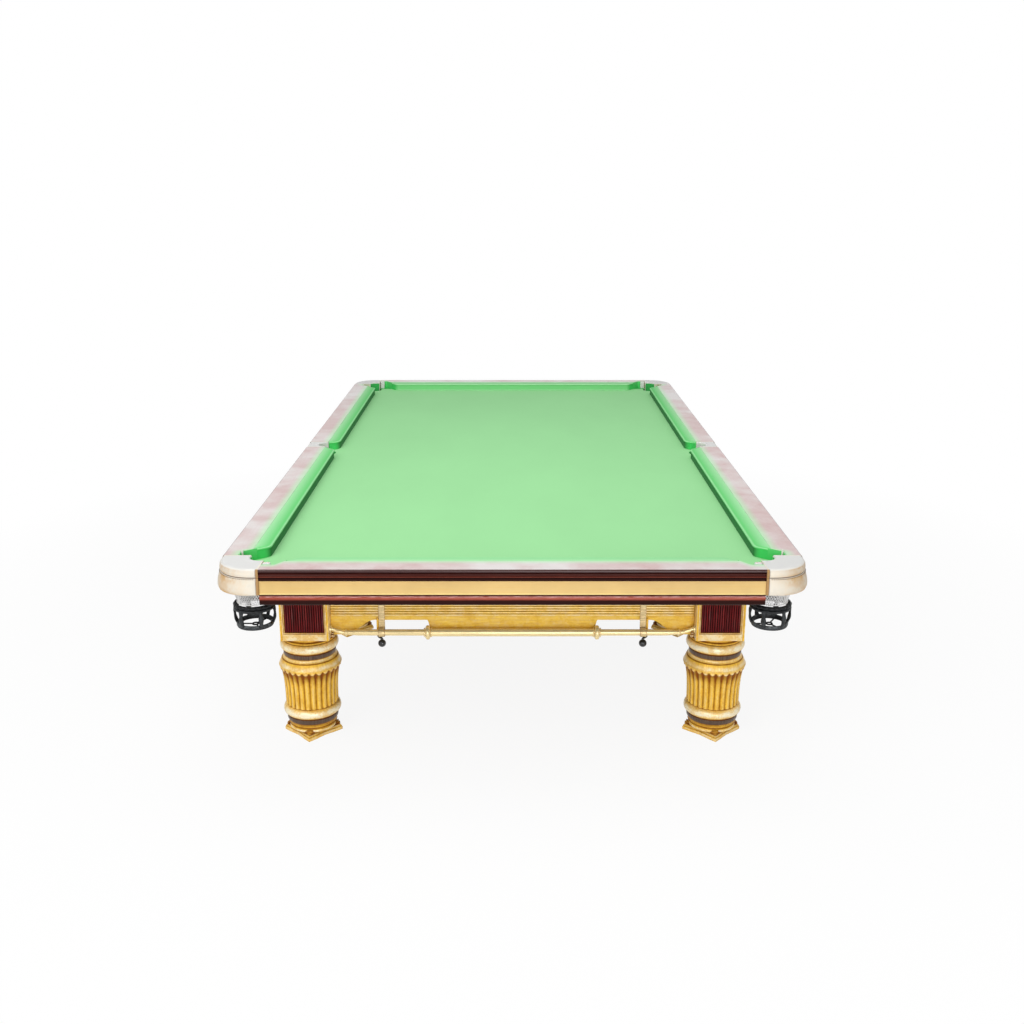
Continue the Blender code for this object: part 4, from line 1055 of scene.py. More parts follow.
def bed_outline():
    """Right half of the bed's edge from the front middle to the rear middle, bitten by three pockets."""
    inset = BED_HIGH[:2] - CORNER_POCKET
    first = 180 + math.degrees(math.asin(inset[1] / FALL_RADIUS))
    last = math.degrees(math.acos(inset[0] / FALL_RADIUS))
    corner = arc((CORNER_POCKET[0], -CORNER_POCKET[1]), FALL_RADIUS, first, last, CORNER_STEPS)
    half = math.degrees(math.acos((BED_HIGH[0] - MIDDLE_POCKET[0]) / FALL_RADIUS))
    middle = arc(MIDDLE_POCKET, FALL_RADIUS, 360 - half, half, MIDDLE_STEPS)
    return joined(corner, middle, (corner * (1, -1))[::-1])


def thin_wall(edge, centre, top, fall, low):
    """Thin cloth wall along an edge in plan: a slim section, set in towards a centre at each point."""
    inward = unit(centre - edge)
    section = ((0.0004, top), (0.0016, top - fall), (0.0018, low), (0.0004, low))
    return np.stack([raised(edge + inward * d, z) for d, z in section], 1)


class TABLE_OT_bed(bpy.types.Operator):
    """Build the bed cloth, stretched over the slates and turned down into the pockets"""

    bl_idname = "table.bed"
    bl_label = "Bed cloth"

    def execute(self, context):
        right = bed_outline()
        outline = joined(right, (right * (-1, 1))[::-1])
        shape = Skin().solid(np.stack([raised(outline, z) for z in (BED_LOW[2], BED_TOP)]))
        piece = shape.make("bed_cloth_sheet", "bed_cloth", node="bed_cloth")
        for name, pocket in pockets().items():
            self.throat(name, pocket)
        x, y = outline.T
        area = abs(np.dot(x, np.roll(y, -1)) - np.dot(y, np.roll(x, -1))) / 2
        return {"FINISHED"}

    def throat(self, name, pocket):
        """Cloth turned down into a pocket: a thin wall at the bed's edge, and one inside a corner's leather."""
        corner = pocket.kind == "corner"
        bites = np.split(bed_outline(), (CORNER_STEPS, CORNER_STEPS + MIDDLE_STEPS))
        edge = bites[0 if corner else 1] * pocket.way * (1, -1)
        centre = (CORNER_POCKET if corner else MIDDLE_POCKET) * pocket.way
        wall = thin_wall(edge, centre, BED_TOP - 0.0004, 0.0006, BED_TOP - 0.034)
        # Jaw green cloth with a little painted shade inside the pocket.
        shape = Skin().solid(wall, relief=1.0, tint=0.2)
        if corner:
            edge = leather_paths(pocket)[0][2:-2]
            centre = (CORNER_POCKET - CORNER_OVERHANG) * pocket.way
            wall = thin_wall(edge, centre, RAIL_TOP - 0.0070, 0.0010, FASCIA_BOTTOM + 0.003)
            # More painted shade inside the corner's leather.
            shape.solid(wall, relief=1.0, tint=0.35)
        piece = shape.make("pocket_throat_" + name, "cushion_cloth")


def leather_paths(pocket):
    """Inner and outer edge of a leather in plan: the pocket's round, and the outline from rail to rail."""
    if pocket.kind == "corner":
        reach = np.array((HALF_WIDTH, HALF_LENGTH)) - CORNER_REACH
        centre = CORNER_POCKET - CORNER_OVERHANG
        d = centre - reach
        first = 180 - math.degrees(math.acos(d[0] / CORNER_HOLE))
        last = -math.degrees(math.asin(d[1] / CORNER_HOLE))
        hole = arc(centre, CORNER_HOLE, first, last, 60)
        bend = arc((HALF_WIDTH - CORNER_ROUND, HALF_LENGTH - CORNER_ROUND), CORNER_ROUND, 90, 0, 60)
        rim = joined([(reach[0], HALF_LENGTH)], bend, [(HALF_WIDTH, reach[1])])
    else:
        back = HALF_WIDTH - WOOD_DEPTH
        centre = MIDDLE_POCKET - (MIDDLE_OVERHANG, 0.0)
        half = 180 - math.degrees(math.acos((centre[0] - back) / MIDDLE_HOLE))
        hole = joined([(back, -MIDDLE_REACH)], arc(centre, MIDDLE_HOLE, -half, half, 50), [(back, MIDDLE_REACH)])
        rim = np.array(((HALF_WIDTH, -MIDDLE_REACH), (HALF_WIDTH, MIDDLE_REACH)))
    return hole * pocket.way, rim * pocket.way


def leather_section(inner, outer, swell, welt, seam_depth):
    """Sections of a pocket leather for all stations at once, with masks for its top, its seam and its hem.

    The cap has a flat top and a rolled edge that bulges a little, a sewn groove runs round below it, and the skirt
    swells out by a sine and curls in at the hem; the hole's wall and its rounded lip close the section.
    """
    way = unit(outer - inner)[:, None]
    low, seam, top = FASCIA_BOTTOM + SEAT, SEAM_HEIGHT, RAIL_TOP
    roll = arc((-LEATHER_ROLL, top - LEATHER_ROLL), LEATHER_ROLL, 88, 6, 10)
    t = np.linspace(0, 1, 6)
    wall_top = top - 0.0145
    wall = np.column_stack((0.0014 * np.sin(np.pi * t), wall_top + (seam + 0.0032 - wall_top) * t))
    groove = np.column_stack((np.array((0, -1, -1, 0)) * seam_depth, seam + mm((1.8, 0.8, -0.8, -1.8))))
    t = np.linspace(0.07, 1, 14)
    bulge = np.sin(0.5 * np.pi * np.minimum(t * 1.3, 1)) - 1.75 * np.clip(t - 0.8, 0, 1) * t
    edge = joined(roll, wall, groove, np.column_stack((0 * t, seam + (low - seam) * t)), [(-0.010, low)])
    flare = run_on(np.zeros(20), bulge, 0.0)
    reach = edge[:, 0] + 0.014 * swell[:, None] * flare + welt[:, None]
    outside = outer[:, None] + way * reach[..., None]
    lip = arc((LEATHER_LIP, top - LEATHER_LIP), LEATHER_LIP, 180, 95, 7)
    hole = joined(np.column_stack((np.zeros(4), np.linspace(low, top - 0.008, 4))), lip)
    inside = inner[:, None] + way * hole[:, :1]
    start, stop = inner[:, None] + way * LEATHER_LIP, outer[:, None] - way * LEATHER_ROLL
    face = start + (stop - start) * np.linspace(0.08, 0.92, 7)[:, None]
    plan = np.concatenate((outside, inside, face), 1)
    z = run_on(edge[:, 1], hole[:, 1], np.full(7, top - 0.0002))
    points = np.concatenate((plan, np.broadcast_to(z[:, None], (*plan.shape[:2], 1))), -1)
    flat = run_on(np.linspace(1, 0.1, 10), np.zeros(25), np.full(6, 0.8), np.linspace(0.85, 1, 5), np.ones(7))
    sewn, hem = np.zeros(len(z)), np.zeros(len(z))
    sewn[16:20] = (0.2, 1.0, 1.0, 0.2)
    # Tan on the cap's roll and wall and down the skirt: handled leather with painted shade, strongest at the hem.
    hem[5:16] = (0.2, 0.6, 0.6, 0.5, 0.45, 0.42, 0.42, 0.44, 0.5, 0.6, 0.75)
    hem[20:35] = run_on(np.linspace(0.75, 0.45, 8), (0.45, 0.46, 0.5, 0.58, 0.72, 0.9, 1.0))
    return points, flat, sewn, hem


class TABLE_OT_leathers(bpy.types.Operator):
    """Build the pocket leathers with their sewn seams, and the lugs that hold them to the rails"""

    bl_idname = "table.leathers"
    bl_label = "Pocket leathers"

    def execute(self, context):
        sizes = context.scene.table_sizes
        for name, pocket in pockets().items():
            rim = leather_paths(pocket)[1]
            points, masks = self.leather(pocket, sizes.seam_depth)
            shape = Skin().solid(points, **masks)
            piece = shape.make("leather_" + name, "cream_leather", node="pocket_leather_" + name)
            self.sew(name, along_path(rim, np.linspace(0.0, 1.0, 400)), sizes.stitch_pitch)
            if pocket.kind == "corner":
                self.lug(name, *pocket.way)
        return {"FINISHED"}

    def leather(self, pocket, seam_depth):
        """Leather's sections along both paths, a raised welt at each end; tan of handled edges and painted shade
        towards the hem, dark in seams.
        """
        corner = pocket.kind == "corner"
        hole, rim = leather_paths(pocket)
        total = path_length(rim)
        margin = 0.011 / total
        close = np.linspace(0, margin, 9)[:-1]
        shares = run_on(close, np.linspace(margin, 1 - margin, 64 if corner else 30), 1 - close[::-1])
        from_end = np.minimum(shares, 1 - shares) * total
        bow = np.sin(np.pi * shares)
        swell = bow**0.6 * (1.0 if corner else 0.8)
        welt = 0.0012 * ramp(from_end, 0.009, 0.0076)
        paths = along_path(hole, shares), along_path(rim, shares)
        points, flat, sewn, hem = leather_section(*paths, swell, welt, seam_depth)
        strip = ramp(from_end, 0.0085, 0.0075)[:, None]
        crease = peak(from_end, 0.0092, 0.0012)[:, None]
        column = np.arange(len(hem))
        below = (column < 35) & (column > 2)
        # Tan of handled leather and painted shade, stronger mid-way round; solid tan on the welt strips.
        tan = np.maximum(hem * (0.2 + 0.8 * bow**2)[:, None], 2.5 * strip * below)
        dark = np.maximum(sewn * (1 - strip), np.maximum(crease, 0.42 * strip) * below)
        return points, {"tint": tan, "relief": dark, "wear": flat * (1 - strip)}

    def sew(self, name, line, pitch):
        """Stitches below the seam: short bars, each a shallow arch, at equal steps along the outer edge."""
        count = int(path_length(line) / pitch)
        line = along_path(line, np.linspace(0, 1, count * 8 + 1))
        way = unit(np.gradient(line, axis=0))
        out = np.column_stack((way[:, 1], -way[:, 0]))
        out *= np.sign(np.sum(out * line, axis=1))[:, None]
        reach = (0.0016 + 0.0012 * np.sin(np.linspace(0, np.pi, 6)))[:, None]
        shape = Skin()
        for k in range(2, count - 2):
            part = slice(k * 8 + 1, k * 8 + 7)
            path = raised(line[part] + out[part] * reach, SEAM_HEIGHT - 0.0048)
            shape.solid(tube(path, 0.0009, 6))
        shape.make("leather_stitches_" + name, "leather_thread", "cream_leather")

    def lug(self, name, x_way, y_way):
        """Pocket lug in an end rail's mouth: a rounded block with two studs; in a side rail's, a slim post."""
        rail = rails()["front" if y_way < 0 else "rear"]
        middle, place = WOOD_DEPTH - JAW_FLARE + 0.0165, rail.end.at - 0.0155
        size = np.array((0.94, 1.0, 1.0, 0.95, 0.8, 0.4))[:, None]
        height = run_on(BED_TOP + mm((2, 4)), RAIL_TOP + mm((-3, -0.8, 0.6, 1.2)))[:, None]
        x, y = squarish(turns(40), 0.5)
        block = on_rail(rail, middle + 0.0115 * size * x, x_way * (place - 0.0135 * size * y), height)
        shape = Skin().solid(block, wear=1.0)
        dome = mm(((3.2, 0), (3.2, 1.4), (2.2, 2.6), (0.8, 3.0)), (0, RAIL_TOP))
        for offset in (-0.006, 0.006):
            shape.solid(turned(dome, 14, on_rail(rail, middle, x_way * (place + offset), 0.0)), tint=0.35)
        post_x = HALF_WIDTH - WOOD_DEPTH + JAW_FLARE - 0.0062
        post_y = HALF_LENGTH - CORNER_REACH - JAW_NOTCH + 0.0065
        post = joined([(0.0038, BED_TOP + 0.002)], mm(((4.0, 4.0), (3.0, 6.2), (1.0, 7.0)), (0, RAIL_TOP)))
        shape.solid(turned(post, 16, (x_way * post_x, y_way * post_y, 0.0)), wear=0.5)
        shape.make("pocket_lug_" + name, "cream_leather")


class TABLE_OT_nets(bpy.types.Operator):
    """Build the corded net sleeves and the open ball baskets"""

    bl_idname = "table.nets"
    bl_label = "Nets and baskets"

    def execute(self, context):
        sizes = context.scene.table_sizes
        for name, pocket in pockets().items():
            at = np.array((*pocket.net, 0.0))
            node = "pocket_net_" + name
            self.net(sizes, at).make("net_" + name, "net_cord", node=node)
            self.basket(at).make("basket_" + name, "black_basket", node=node)
        return {"FINISHED"}

    def net(self, sizes, at):
        """Two families of cords that wind opposite ways down a waisted sleeve, between a hem and a lacing ring.

        The sleeve's radius falls to its waist by a power, and folds are a cosine round it that grows downwards.
        """
        top, low = FASCIA_BOTTOM - 0.002, FASCIA_BOTTOM - 0.0603
        t = np.linspace(0, 1, 22)
        radius = NET_MOUTH - 0.0205 * (1 - (1 - t) ** 1.7)
        shape = Skin()
        for way in (-1, 1):
            for start in turns(sizes.net_cords):
                a = start + way * t * 0.55
                folds = 0.0016 * np.sin(np.pi * t) * np.cos(9 * a + 2 * t)
                wave = radius + folds + way * 0.0006 * np.cos(t * np.pi * 8)
                path = np.column_stack((wave * np.cos(a), wave * np.sin(a), top + (low - top) * t)) + at
                shape.solid(tube(path, sizes.cord_radius, 6, up=(0.3, 0.2, 1.0)))
        shape.ring(hoop(NET_MOUTH, 0.0024, 0.0020, 8, 64, at + UP * top))
        shape.ring(hoop(0.0588, 0.0026, 0.0024, 8, 64, at + UP * (low + 0.001)))
        return shape

    def basket(self, at):
        """Lumpy collar, a smooth ring, six bowed ribs, a broad lower ring, three spokes and a small hub."""
        rim, low, floor = BASKET_RIM, BASKET_LOW, BASKET_LOW + 0.0036
        shape = Skin()
        lump = np.abs(np.sin(10 * turns(160))) ** 0.7
        collar = hoop(0.0650 + 0.0020 * lump, 0.0070 + 0.0010 * lump, 0.0076, 14, 160, at + UP * (rim + 0.0065))
        # Rub and painted highlight on the collar's lumps.
        shape.ring(collar, wear=0.2 * lump[:, None])
        shape.ring(hoop(0.0685, 0.0060, 0.0056, 12, 96, at + UP * (rim - 0.0060)), tint=0.08)
        outer = ((56, 2), (60, 0), (64, 1), (66.2, 6), (66.8, 12))
        ring = mm(outer + ((65.2, 17), (60, 17.2), (56.8, 9)), (0, low))
        # Grey rub and painted highlight on the ring's upper outer face.
        rub_and_highlight = 0.4 * np.array((0.0, 0.0, 0.1, 0.4, 0.8, 1.0, 0.7, 0.0))
        shape.ring(turned(ring, 96, at).transpose(1, 0, 2), tint=rub_and_highlight)
        bow = joined(mm(((68, -3), (71.6, -22), (71, -44)), (0, rim)), [(0.0645, low + 0.010)])
        r, z = smoothed(bow, 14).T
        # Painted highlight along the top side of each rib.
        spine = 0.14 * np.maximum(np.cos(turns(12) - np.pi / 2), 0)
        for k, turn in enumerate(turns(6)):
            side = (np.cos(turn), np.sin(turn), 0.0)
            path = np.column_stack((r * side[0], r * side[1], z)) + at
            knots = 0.0050 + 0.0009 * np.sin(np.linspace(0, 3.5 * np.pi, 14) + 1.7 * k)
            shape.solid(tube(path, knots, 12, up=side, flat=1.75), tint=spine)
        r = np.linspace(0.060, 0.010, 6)
        for turn in turns(3) + np.pi / 3:
            path = raised(np.column_stack((r * np.cos(turn), r * np.sin(turn))), floor) + at
            shape.solid(tube(path, 0.0028, 8))
        return shape.ring(hoop(0.0105, 0.0030, 0.0030, 10, 40, at + UP * floor))


def painted_ring(band, radii):
    """Slightly rounded ring of the leg between two heights, from four radii in millimetres."""
    heights = (band[0] + 0.0006, band[0] - 0.0012, band[1] + 0.003, band[1] + 0.0006)
    return np.column_stack((mm(radii), heights))


def leg_profile():
    """Turned part of a leg from the top down: (radius, height) of neck, roll, cove, knop, vase and foot."""
    top, cove_top = (0, BLOCK_BOTTOM), (0, UPPER_BAND[1])
    swell = mm(((116.5, -1), (113, -18), (108.5, -50), (105.6, -95)), (0, KNOP_FOOT))
    return joined(
        mm(((86, 1), (92.5, -2), (93.5, -7.5), (98.5, -9.5)), top),
        mm(((103.5, -11.2), (104.5, -13.5), (103.5, -15.8), (99.5, -17.0)), top),
        arc((0.0945, UPPER_ROLL), 0.0210, 82, -74, 22),
        painted_ring(UPPER_BAND, (101.5, 104, 103.4, 101.8)),
        smoothed(mm(((101.5, -0.6), (104.5, -8), (109.8, -14.5)), cove_top), 9),
        smoothed(mm(((110.8, -15.2), (116, -26), (122.2, -41)), cove_top), 12),
        arc((0.1195, UPPER_BAND[1] - 0.0445), 0.0045, 30, -75, 8),
        mm(((121.2, 7.5), (119.8, 3), (116.8, 1)), (0, KNOP_FOOT)),
        smoothed(joined(swell, [(0.1046, VASE_FOOT + 0.004)]), 44),
        mm(((103.4, 1.2), (100.5, -0.6), (99.5, -2.2)), (0, VASE_FOOT)),
        arc((0.0935, LOWER_ROLL), 0.0210, 78, -76, 22),
        painted_ring(LOWER_BAND, (100, 102.8, 101.2, 99)),
        smoothed(mm(((97.8, 16.8), (94.2, 9), (95.7, 0)), (0, LEG_END)), 9),
    )


def leg_surface(sizes, sides):
    """Leg turning: the profile swung round, less a row of reeds on the vase and a scalloped lip above it.

    A reed's height falls from its crest as one less the size of a cosine; the fall fades in under the lip.
    Umber lies in the grooves and between the reeds, and as painted shade under each roll and below the lip; cream
    painted highlight lies on each roll's crest, the knop's top, the reeds and the lip's teeth.
    """
    r, z = np.hsplit(leg_profile(), 2)
    a = turns(sides)
    wave = np.abs(np.cos(sizes.flutes * a / 2))
    fade = ramp(z, KNOP_FOOT + 0.001, KNOP_FOOT - 0.005) * ramp(z, VASE_FOOT - 0.001, VASE_FOOT + 0.003)
    hollow = fade * (1 - wave)
    near_lip = peak(z, KNOP_FOOT + 0.004, 0.006)
    near_foot = peak(z, VASE_FOOT + 0.002, 0.004)
    radius = r - sizes.flute_depth * hollow + 0.0022 * near_lip * (wave - 0.5)
    height = z + (sizes.lip_scallop * near_lip + 0.003 * near_foot) * (0.5 - wave)
    grooves = run_on(BLOCK_BOTTOM - mm((8.8, 17.2)), UPPER_BAND, UPPER_BAND[1] - 0.0150, KNOP_FOOT + 0.0005)
    grooves = run_on(grooves, VASE_FOOT - 0.0015, LOWER_BAND, LEG_END + 0.0008)
    dirt_and_shade = sum(peak(z, level, 0.0024) for level in grooves)
    # Painted shade under each roll and in the cove at the foot, and a painted shadow below the knop's lip.
    under = peak(z, UPPER_ROLL - 0.0175, 0.0050) + peak(z, LOWER_ROLL - 0.0180, 0.0050)
    under = under + 0.7 * peak(z, LEG_END + 0.010, 0.008)
    shadow_below_lip = fade * peak(z, KNOP_FOOT - 0.004, 0.030)
    teeth = near_lip * (1 - wave)
    relief = 0.72 * hollow**1.2 + 0.85 * dirt_and_shade + 0.8 * under + 0.9 * teeth + 0.62 * shadow_below_lip
    # Painted highlights in cream: each roll's crest, the knop's top and just under the upper band, the reed crests
    # and the lip's teeth.
    roll_highlights = peak(z, UPPER_ROLL + 0.003, 0.012) + peak(z, LOWER_ROLL + 0.003, 0.012)
    shelf_highlights = 0.9 * peak(z, UPPER_BAND[1] - 0.034, 0.008) + 0.7 * peak(z, UPPER_BAND[1] - 0.0065, 0.005)
    wear = 1.6 * roll_highlights + shelf_highlights + 0.28 * fade * wave**6 * (1 - shadow_below_lip) + 0.8 * near_lip * wave**2
    rings, soft = (UPPER_BAND, LOWER_BAND), 0.001
    bands = sum(ramp(z, high, high - soft) * ramp(z, low, low + soft) for high, low in rings)
    masks = {"relief": np.clip(relief, 0, 1), "tint": bands + 0 * a, "wear": np.clip(wear, 0, 1.6)}
    return spun(radius, height, sides), masks


class TABLE_OT_legs(bpy.types.Operator):
    """Build the legs: framed blocks with reeded panels over a turned and fluted shaft"""

    bl_idname = "table.legs"
    bl_label = "Legs"

    def execute(self, context):
        sizes = context.scene.table_sizes
        sides = sizes.flutes * 8
        points, masks = leg_surface(sizes, sides)
        bore = turned([(0.0128, LEG_END), (0.0128, LEG_END + 0.078)], sides)
        shaft = np.concatenate((points, bore))
        masks = {key: np.concatenate((value, np.zeros((2, sides)))) for key, value in masks.items()}
        for row, y in LEG_ROWS.items():
            for side, x_way in SIDES.items():
                at = np.array((x_way * LEG_X, y, 0.0))
                shown = [(x_way, 0)] + ([(0, ENDS[row])] if row in ENDS else [])
                shape, panels = Skin().solid(shaft + at, **masks), Skin()
                self.block(shape, at, shown)
                for outward in shown:
                    self.panel(panels, sizes.panel_reeds, at, outward)
                node = f"leg_{row}_{side}"
                shape.make("carved_" + node, "carved_gold", "gold_lacquer", node)
                panels.make(f"panels_{row}_{side}", "panel_red", "reeded_red", node)
        return {"FINISHED"}

    def block(self, shape, at, shown):
        """Square block: a core, and on each face a frame moulding with mitred corners or a plain facing."""
        levels = (BLOCK_BOTTOM + 0.001, BLOCK_TOP - 0.0002)
        shape.solid(np.stack([raised(SQUARE * CORE_HALF, z) + at for z in levels]))
        for outward in ((1, 0), (-1, 0), (0, 1), (0, -1)):
            half = BLOCK_HALF if outward[0] else CORE_HALF
            if outward in shown:
                self.frame(shape, at, outward, half, PANEL_STILE - (BLOCK_HALF - half), PANEL_SILL)
            else:
                self.frame(shape, at, outward, half, half - 0.0005, (BLOCK_TOP - BLOCK_BOTTOM) / 2 - 0.0005)

    def frame(self, shape, at, outward, half, stile, sill):
        """Frame carried round a rectangle and mitred: (in from the edge, out from the core), with an ogee.

        The part of the profile past its outer round is moved in further at the sills than at the stiles.
        """
        out, across = facing(outward)
        middle, tall = (BLOCK_TOP + BLOCK_BOTTOM) / 2, (BLOCK_TOP - BLOCK_BOTTOM) / 2
        r = 0.0022
        edge = joined([(0.0, 0.0)], arc((r, FRAME_PROUD - r), r, 180, 90, 5))
        ogee = mm(((-6.2, 8), (-5, 7), (-4.2, 6.9), (-3, 6.6), (-1.2, 5.2), (0, 4.5), (0, 0)))
        rise = run_on(edge[:, 1], ogee[:, 1])[:, None]
        x = SQUARE[:, :1] * (half - run_on(edge[:, 0], stile + ogee[:, 0]))
        z = middle + SQUARE[:, 1:] * (tall - run_on(edge[:, 0], sill + ogee[:, 0]))
        points = at + out * (CORE_HALF + rise) + across * x[..., None] + UP * z[..., None]
        dirt_and_shade = run_on(np.zeros(6), (0.15, 0.9, 0.9, 0.2, 0.5, 0.9, 1.0))
        worn = run_on(np.zeros(2), np.full(4, 0.8), (0.75, 0.0, 0.0, 0.9, 0.4), np.zeros(2))
        shape.ring(points, relief=dirt_and_shade, wear=worn)

    def panel(self, shape, reeds, at, outward):
        """Reeded panel: height across is the size of a sine, one hump a reed, with ends that round off."""
        out, across = facing(outward)
        gap, end_round = 0.0005, 0.006
        half_width = BLOCK_HALF - PANEL_STILE - gap
        low, high = BLOCK_BOTTOM + PANEL_SILL + gap, BLOCK_TOP - PANEL_SILL - gap
        u = np.linspace(0, 1, reeds * 8 + 1)
        hump = np.abs(np.sin(np.pi * reeds * u))
        a = np.linspace(0, np.pi / 2, 6)
        z = run_on(low + end_round * (1 - np.cos(a)), high - end_round * (1 - np.cos(a[::-1])))
        close = run_on(np.sin(a), np.sin(a[::-1]))[:, None]
        flat = np.full((len(z), 1), 0.0003)
        depth = np.concatenate((flat, 0.0012 + 0.0046 * hump * close, flat), 1)
        w = run_on(-half_width, (u * 2 - 1) * half_width, half_width)[:, None]
        points = at + across * w + out * (CORE_HALF + depth[..., None]) + UP * z[:, None, None]
        reed = np.floor(np.clip(u, 0, 0.999) * reeds)
        # Painted highlights: rosy glints on the reed crests, stronger on some reeds than others.
        crest_highlight = np.clip(np.sin(reed * 2.4 + 0.7 * outward[0]) * 0.6 + 0.3, 0, 1) * hump**4
        shape.solid(points, relief=run_on(1.0, 1 - hump, 1.0), wear=run_on(0.0, crest_highlight, 0.0))


class TABLE_OT_feet(bpy.types.Operator):
    """Build the levelling feet: plinths turned corner outwards, collars, corner leaves and screws"""

    bl_idname = "table.feet"
    bl_label = "Levelling feet"

    def execute(self, context):
        stud = [(0.0118, FOOT_TOP - 0.004), (0.0118, FOOT_TOP + 0.069), (0.0105, FOOT_TOP + 0.0698)]
        for row, y in LEG_ROWS.items():
            for side, x_way in SIDES.items():
                key = f"{row}_{side}"
                at = np.array((x_way * LEG_X, y, 0.0))
                place = {"node": "levelling_foot_" + key, "body": "foot_" + key}
                foot = Skin()
                self.plinth(foot, at)
                self.collar(foot, at)
                for turn in turns(4):
                    self.leaf(foot, at, turn)
                foot.make("carved_foot_" + key, "carved_gold", "gold_foot", **place)
                screw = Skin().solid(turned(stud, 24, at))
                screw.make("levelling_screw_" + key, "screw_steel", "black_hook", **place)
        return {"FINISHED"}

    def plinth(self, shape, at):
        """Square plinth set cornerwise: sides drawn in by a squared cosine and waved, with an ogee edge."""
        sides = 160
        turn = (turns(sides) % (np.pi / 2)) - np.pi / 4
        draw = np.cos(2 * turn) ** 2
        outline = PLINTH_SIDE / 2 / np.cos(turn) - draw * (0.0052 + 0.0009 * np.cos(20 * turn))
        lower = ((1, 0), (0, 1.8), (0, 11.2), (1.4, 13.0), (3.2, 13.6))
        inset, z = np.hsplit(mm(lower + ((3, 16.2), (5.6, 20.5), (8.5, 22.8), (13, 24))), 2)
        dirt_and_shade = np.array((0.5, 0, 0, 0.2, 0.55, 0.35, 0.2, 0.5, 1.0))[:, None]
        worn = np.array((0, 0.3, 0.6, 0.2, 0, 0, 0.5, 0.2, 0))[:, None]
        shape.solid(spun(outline - inset, z, sides, at), relief=dirt_and_shade, wear=worn)

    def collar(self, shape, at):
        """Foot's collar: a neck in painted shade, a half-round ring with a painted highlight on its crest and
        painted shade under it, and a flat top.
        """
        neck = mm(((68, 23.6), (73.5, 24.5), (81.5, 25.8)))
        ring = arc((0.0850, 0.0345), 0.0090, -85, 70, 14)
        top = mm(((88, -3.5), (89.5, -0.5), (12.5, 0)), (0, FOOT_TOP))
        # Painted shade on the neck and under the ring; painted highlight on the ring's upper crest.
        dirt_and_shade = run_on(np.ones(3), np.linspace(1.0, 0, 8), np.linspace(0, 0.3, 6), (0.8, 0.4, 0.2))[:, None]
        worn = run_on(np.zeros(8), (0.3, 0.7, 0.9, 0.9, 0.6, 0.3), np.zeros(6))[:, None]
        shape.solid(turned(joined(neck, ring, top), 96, at), relief=dirt_and_shade, wear=worn)

    def leaf(self, shape, at, turn):
        """Corner leaf: a lobed, flattened bar from the collar to the corner, between two curled volutes."""
        out, side = facing((np.cos(turn), np.sin(turn)))
        t = np.linspace(0, 1, 26)[:, None]
        spine = at + out * (0.082 + 0.0255 * t) + UP * (0.0352 - 0.0092 * t + 0.0022 * np.sin(np.pi * t))
        lobes = 1 + 0.22 * np.cos(2 * np.pi * 3.5 * t)
        width = (0.0012 + 0.0056 * np.sin(np.pi * np.clip(0.2 + 0.8 * t, 0, 1)) ** 0.7) * lobes
        vein = np.abs(np.sin(turns(14)))
        shape.solid(tube(spine, width[:, 0], 14, flat=2.7), relief=0.95 - 0.35 * vein)
        a = np.linspace(0, 2.6 * np.pi, 30)[:, None]
        r = 0.0068 * (1 - a / (3.4 * np.pi))
        for way in (-1, 1):
            centre = at + out * 0.0815 + side * way * 0.0215 + UP * 0.0272
            path = centre + out * r * np.cos(a) + side * way * r * np.sin(a)
            shape.solid(tube(path, np.linspace(0.0026, 0.0016, 30), 8), relief=0.7)


def ogee(start, stop, steps):
    """S-curve from one point to another: straight in its width, half a cosine in its height."""
    t = np.linspace(0, 1, steps)
    rise = (1 - np.cos(np.pi * t)) / 2
    return np.column_stack((start[0] + (stop[0] - start[0]) * t, start[1] + (stop[1] - start[1]) * rise))


def apron_outline(half_span, top, tablet):
    """Apron seen from outside: straight lower edge, ogee spandrels and, at the ends, a drop tablet."""
    edge, spandrel_edge, tablet_edge = BLOCK_TOP - 0.170, BLOCK_TOP - 0.2315, BLOCK_TOP - 0.212
    tip = half_span - 0.055
    right = joined(
        [(half_span, top), (half_span, spandrel_edge)], ogee((tip, spandrel_edge), (tip - 0.118, edge), 22)
    )
    if tablet:
        right = joined(right, ogee((0.335, edge), (0.321, tablet_edge), 9))
    return joined(right, (right * (-1, 1))[::-1])


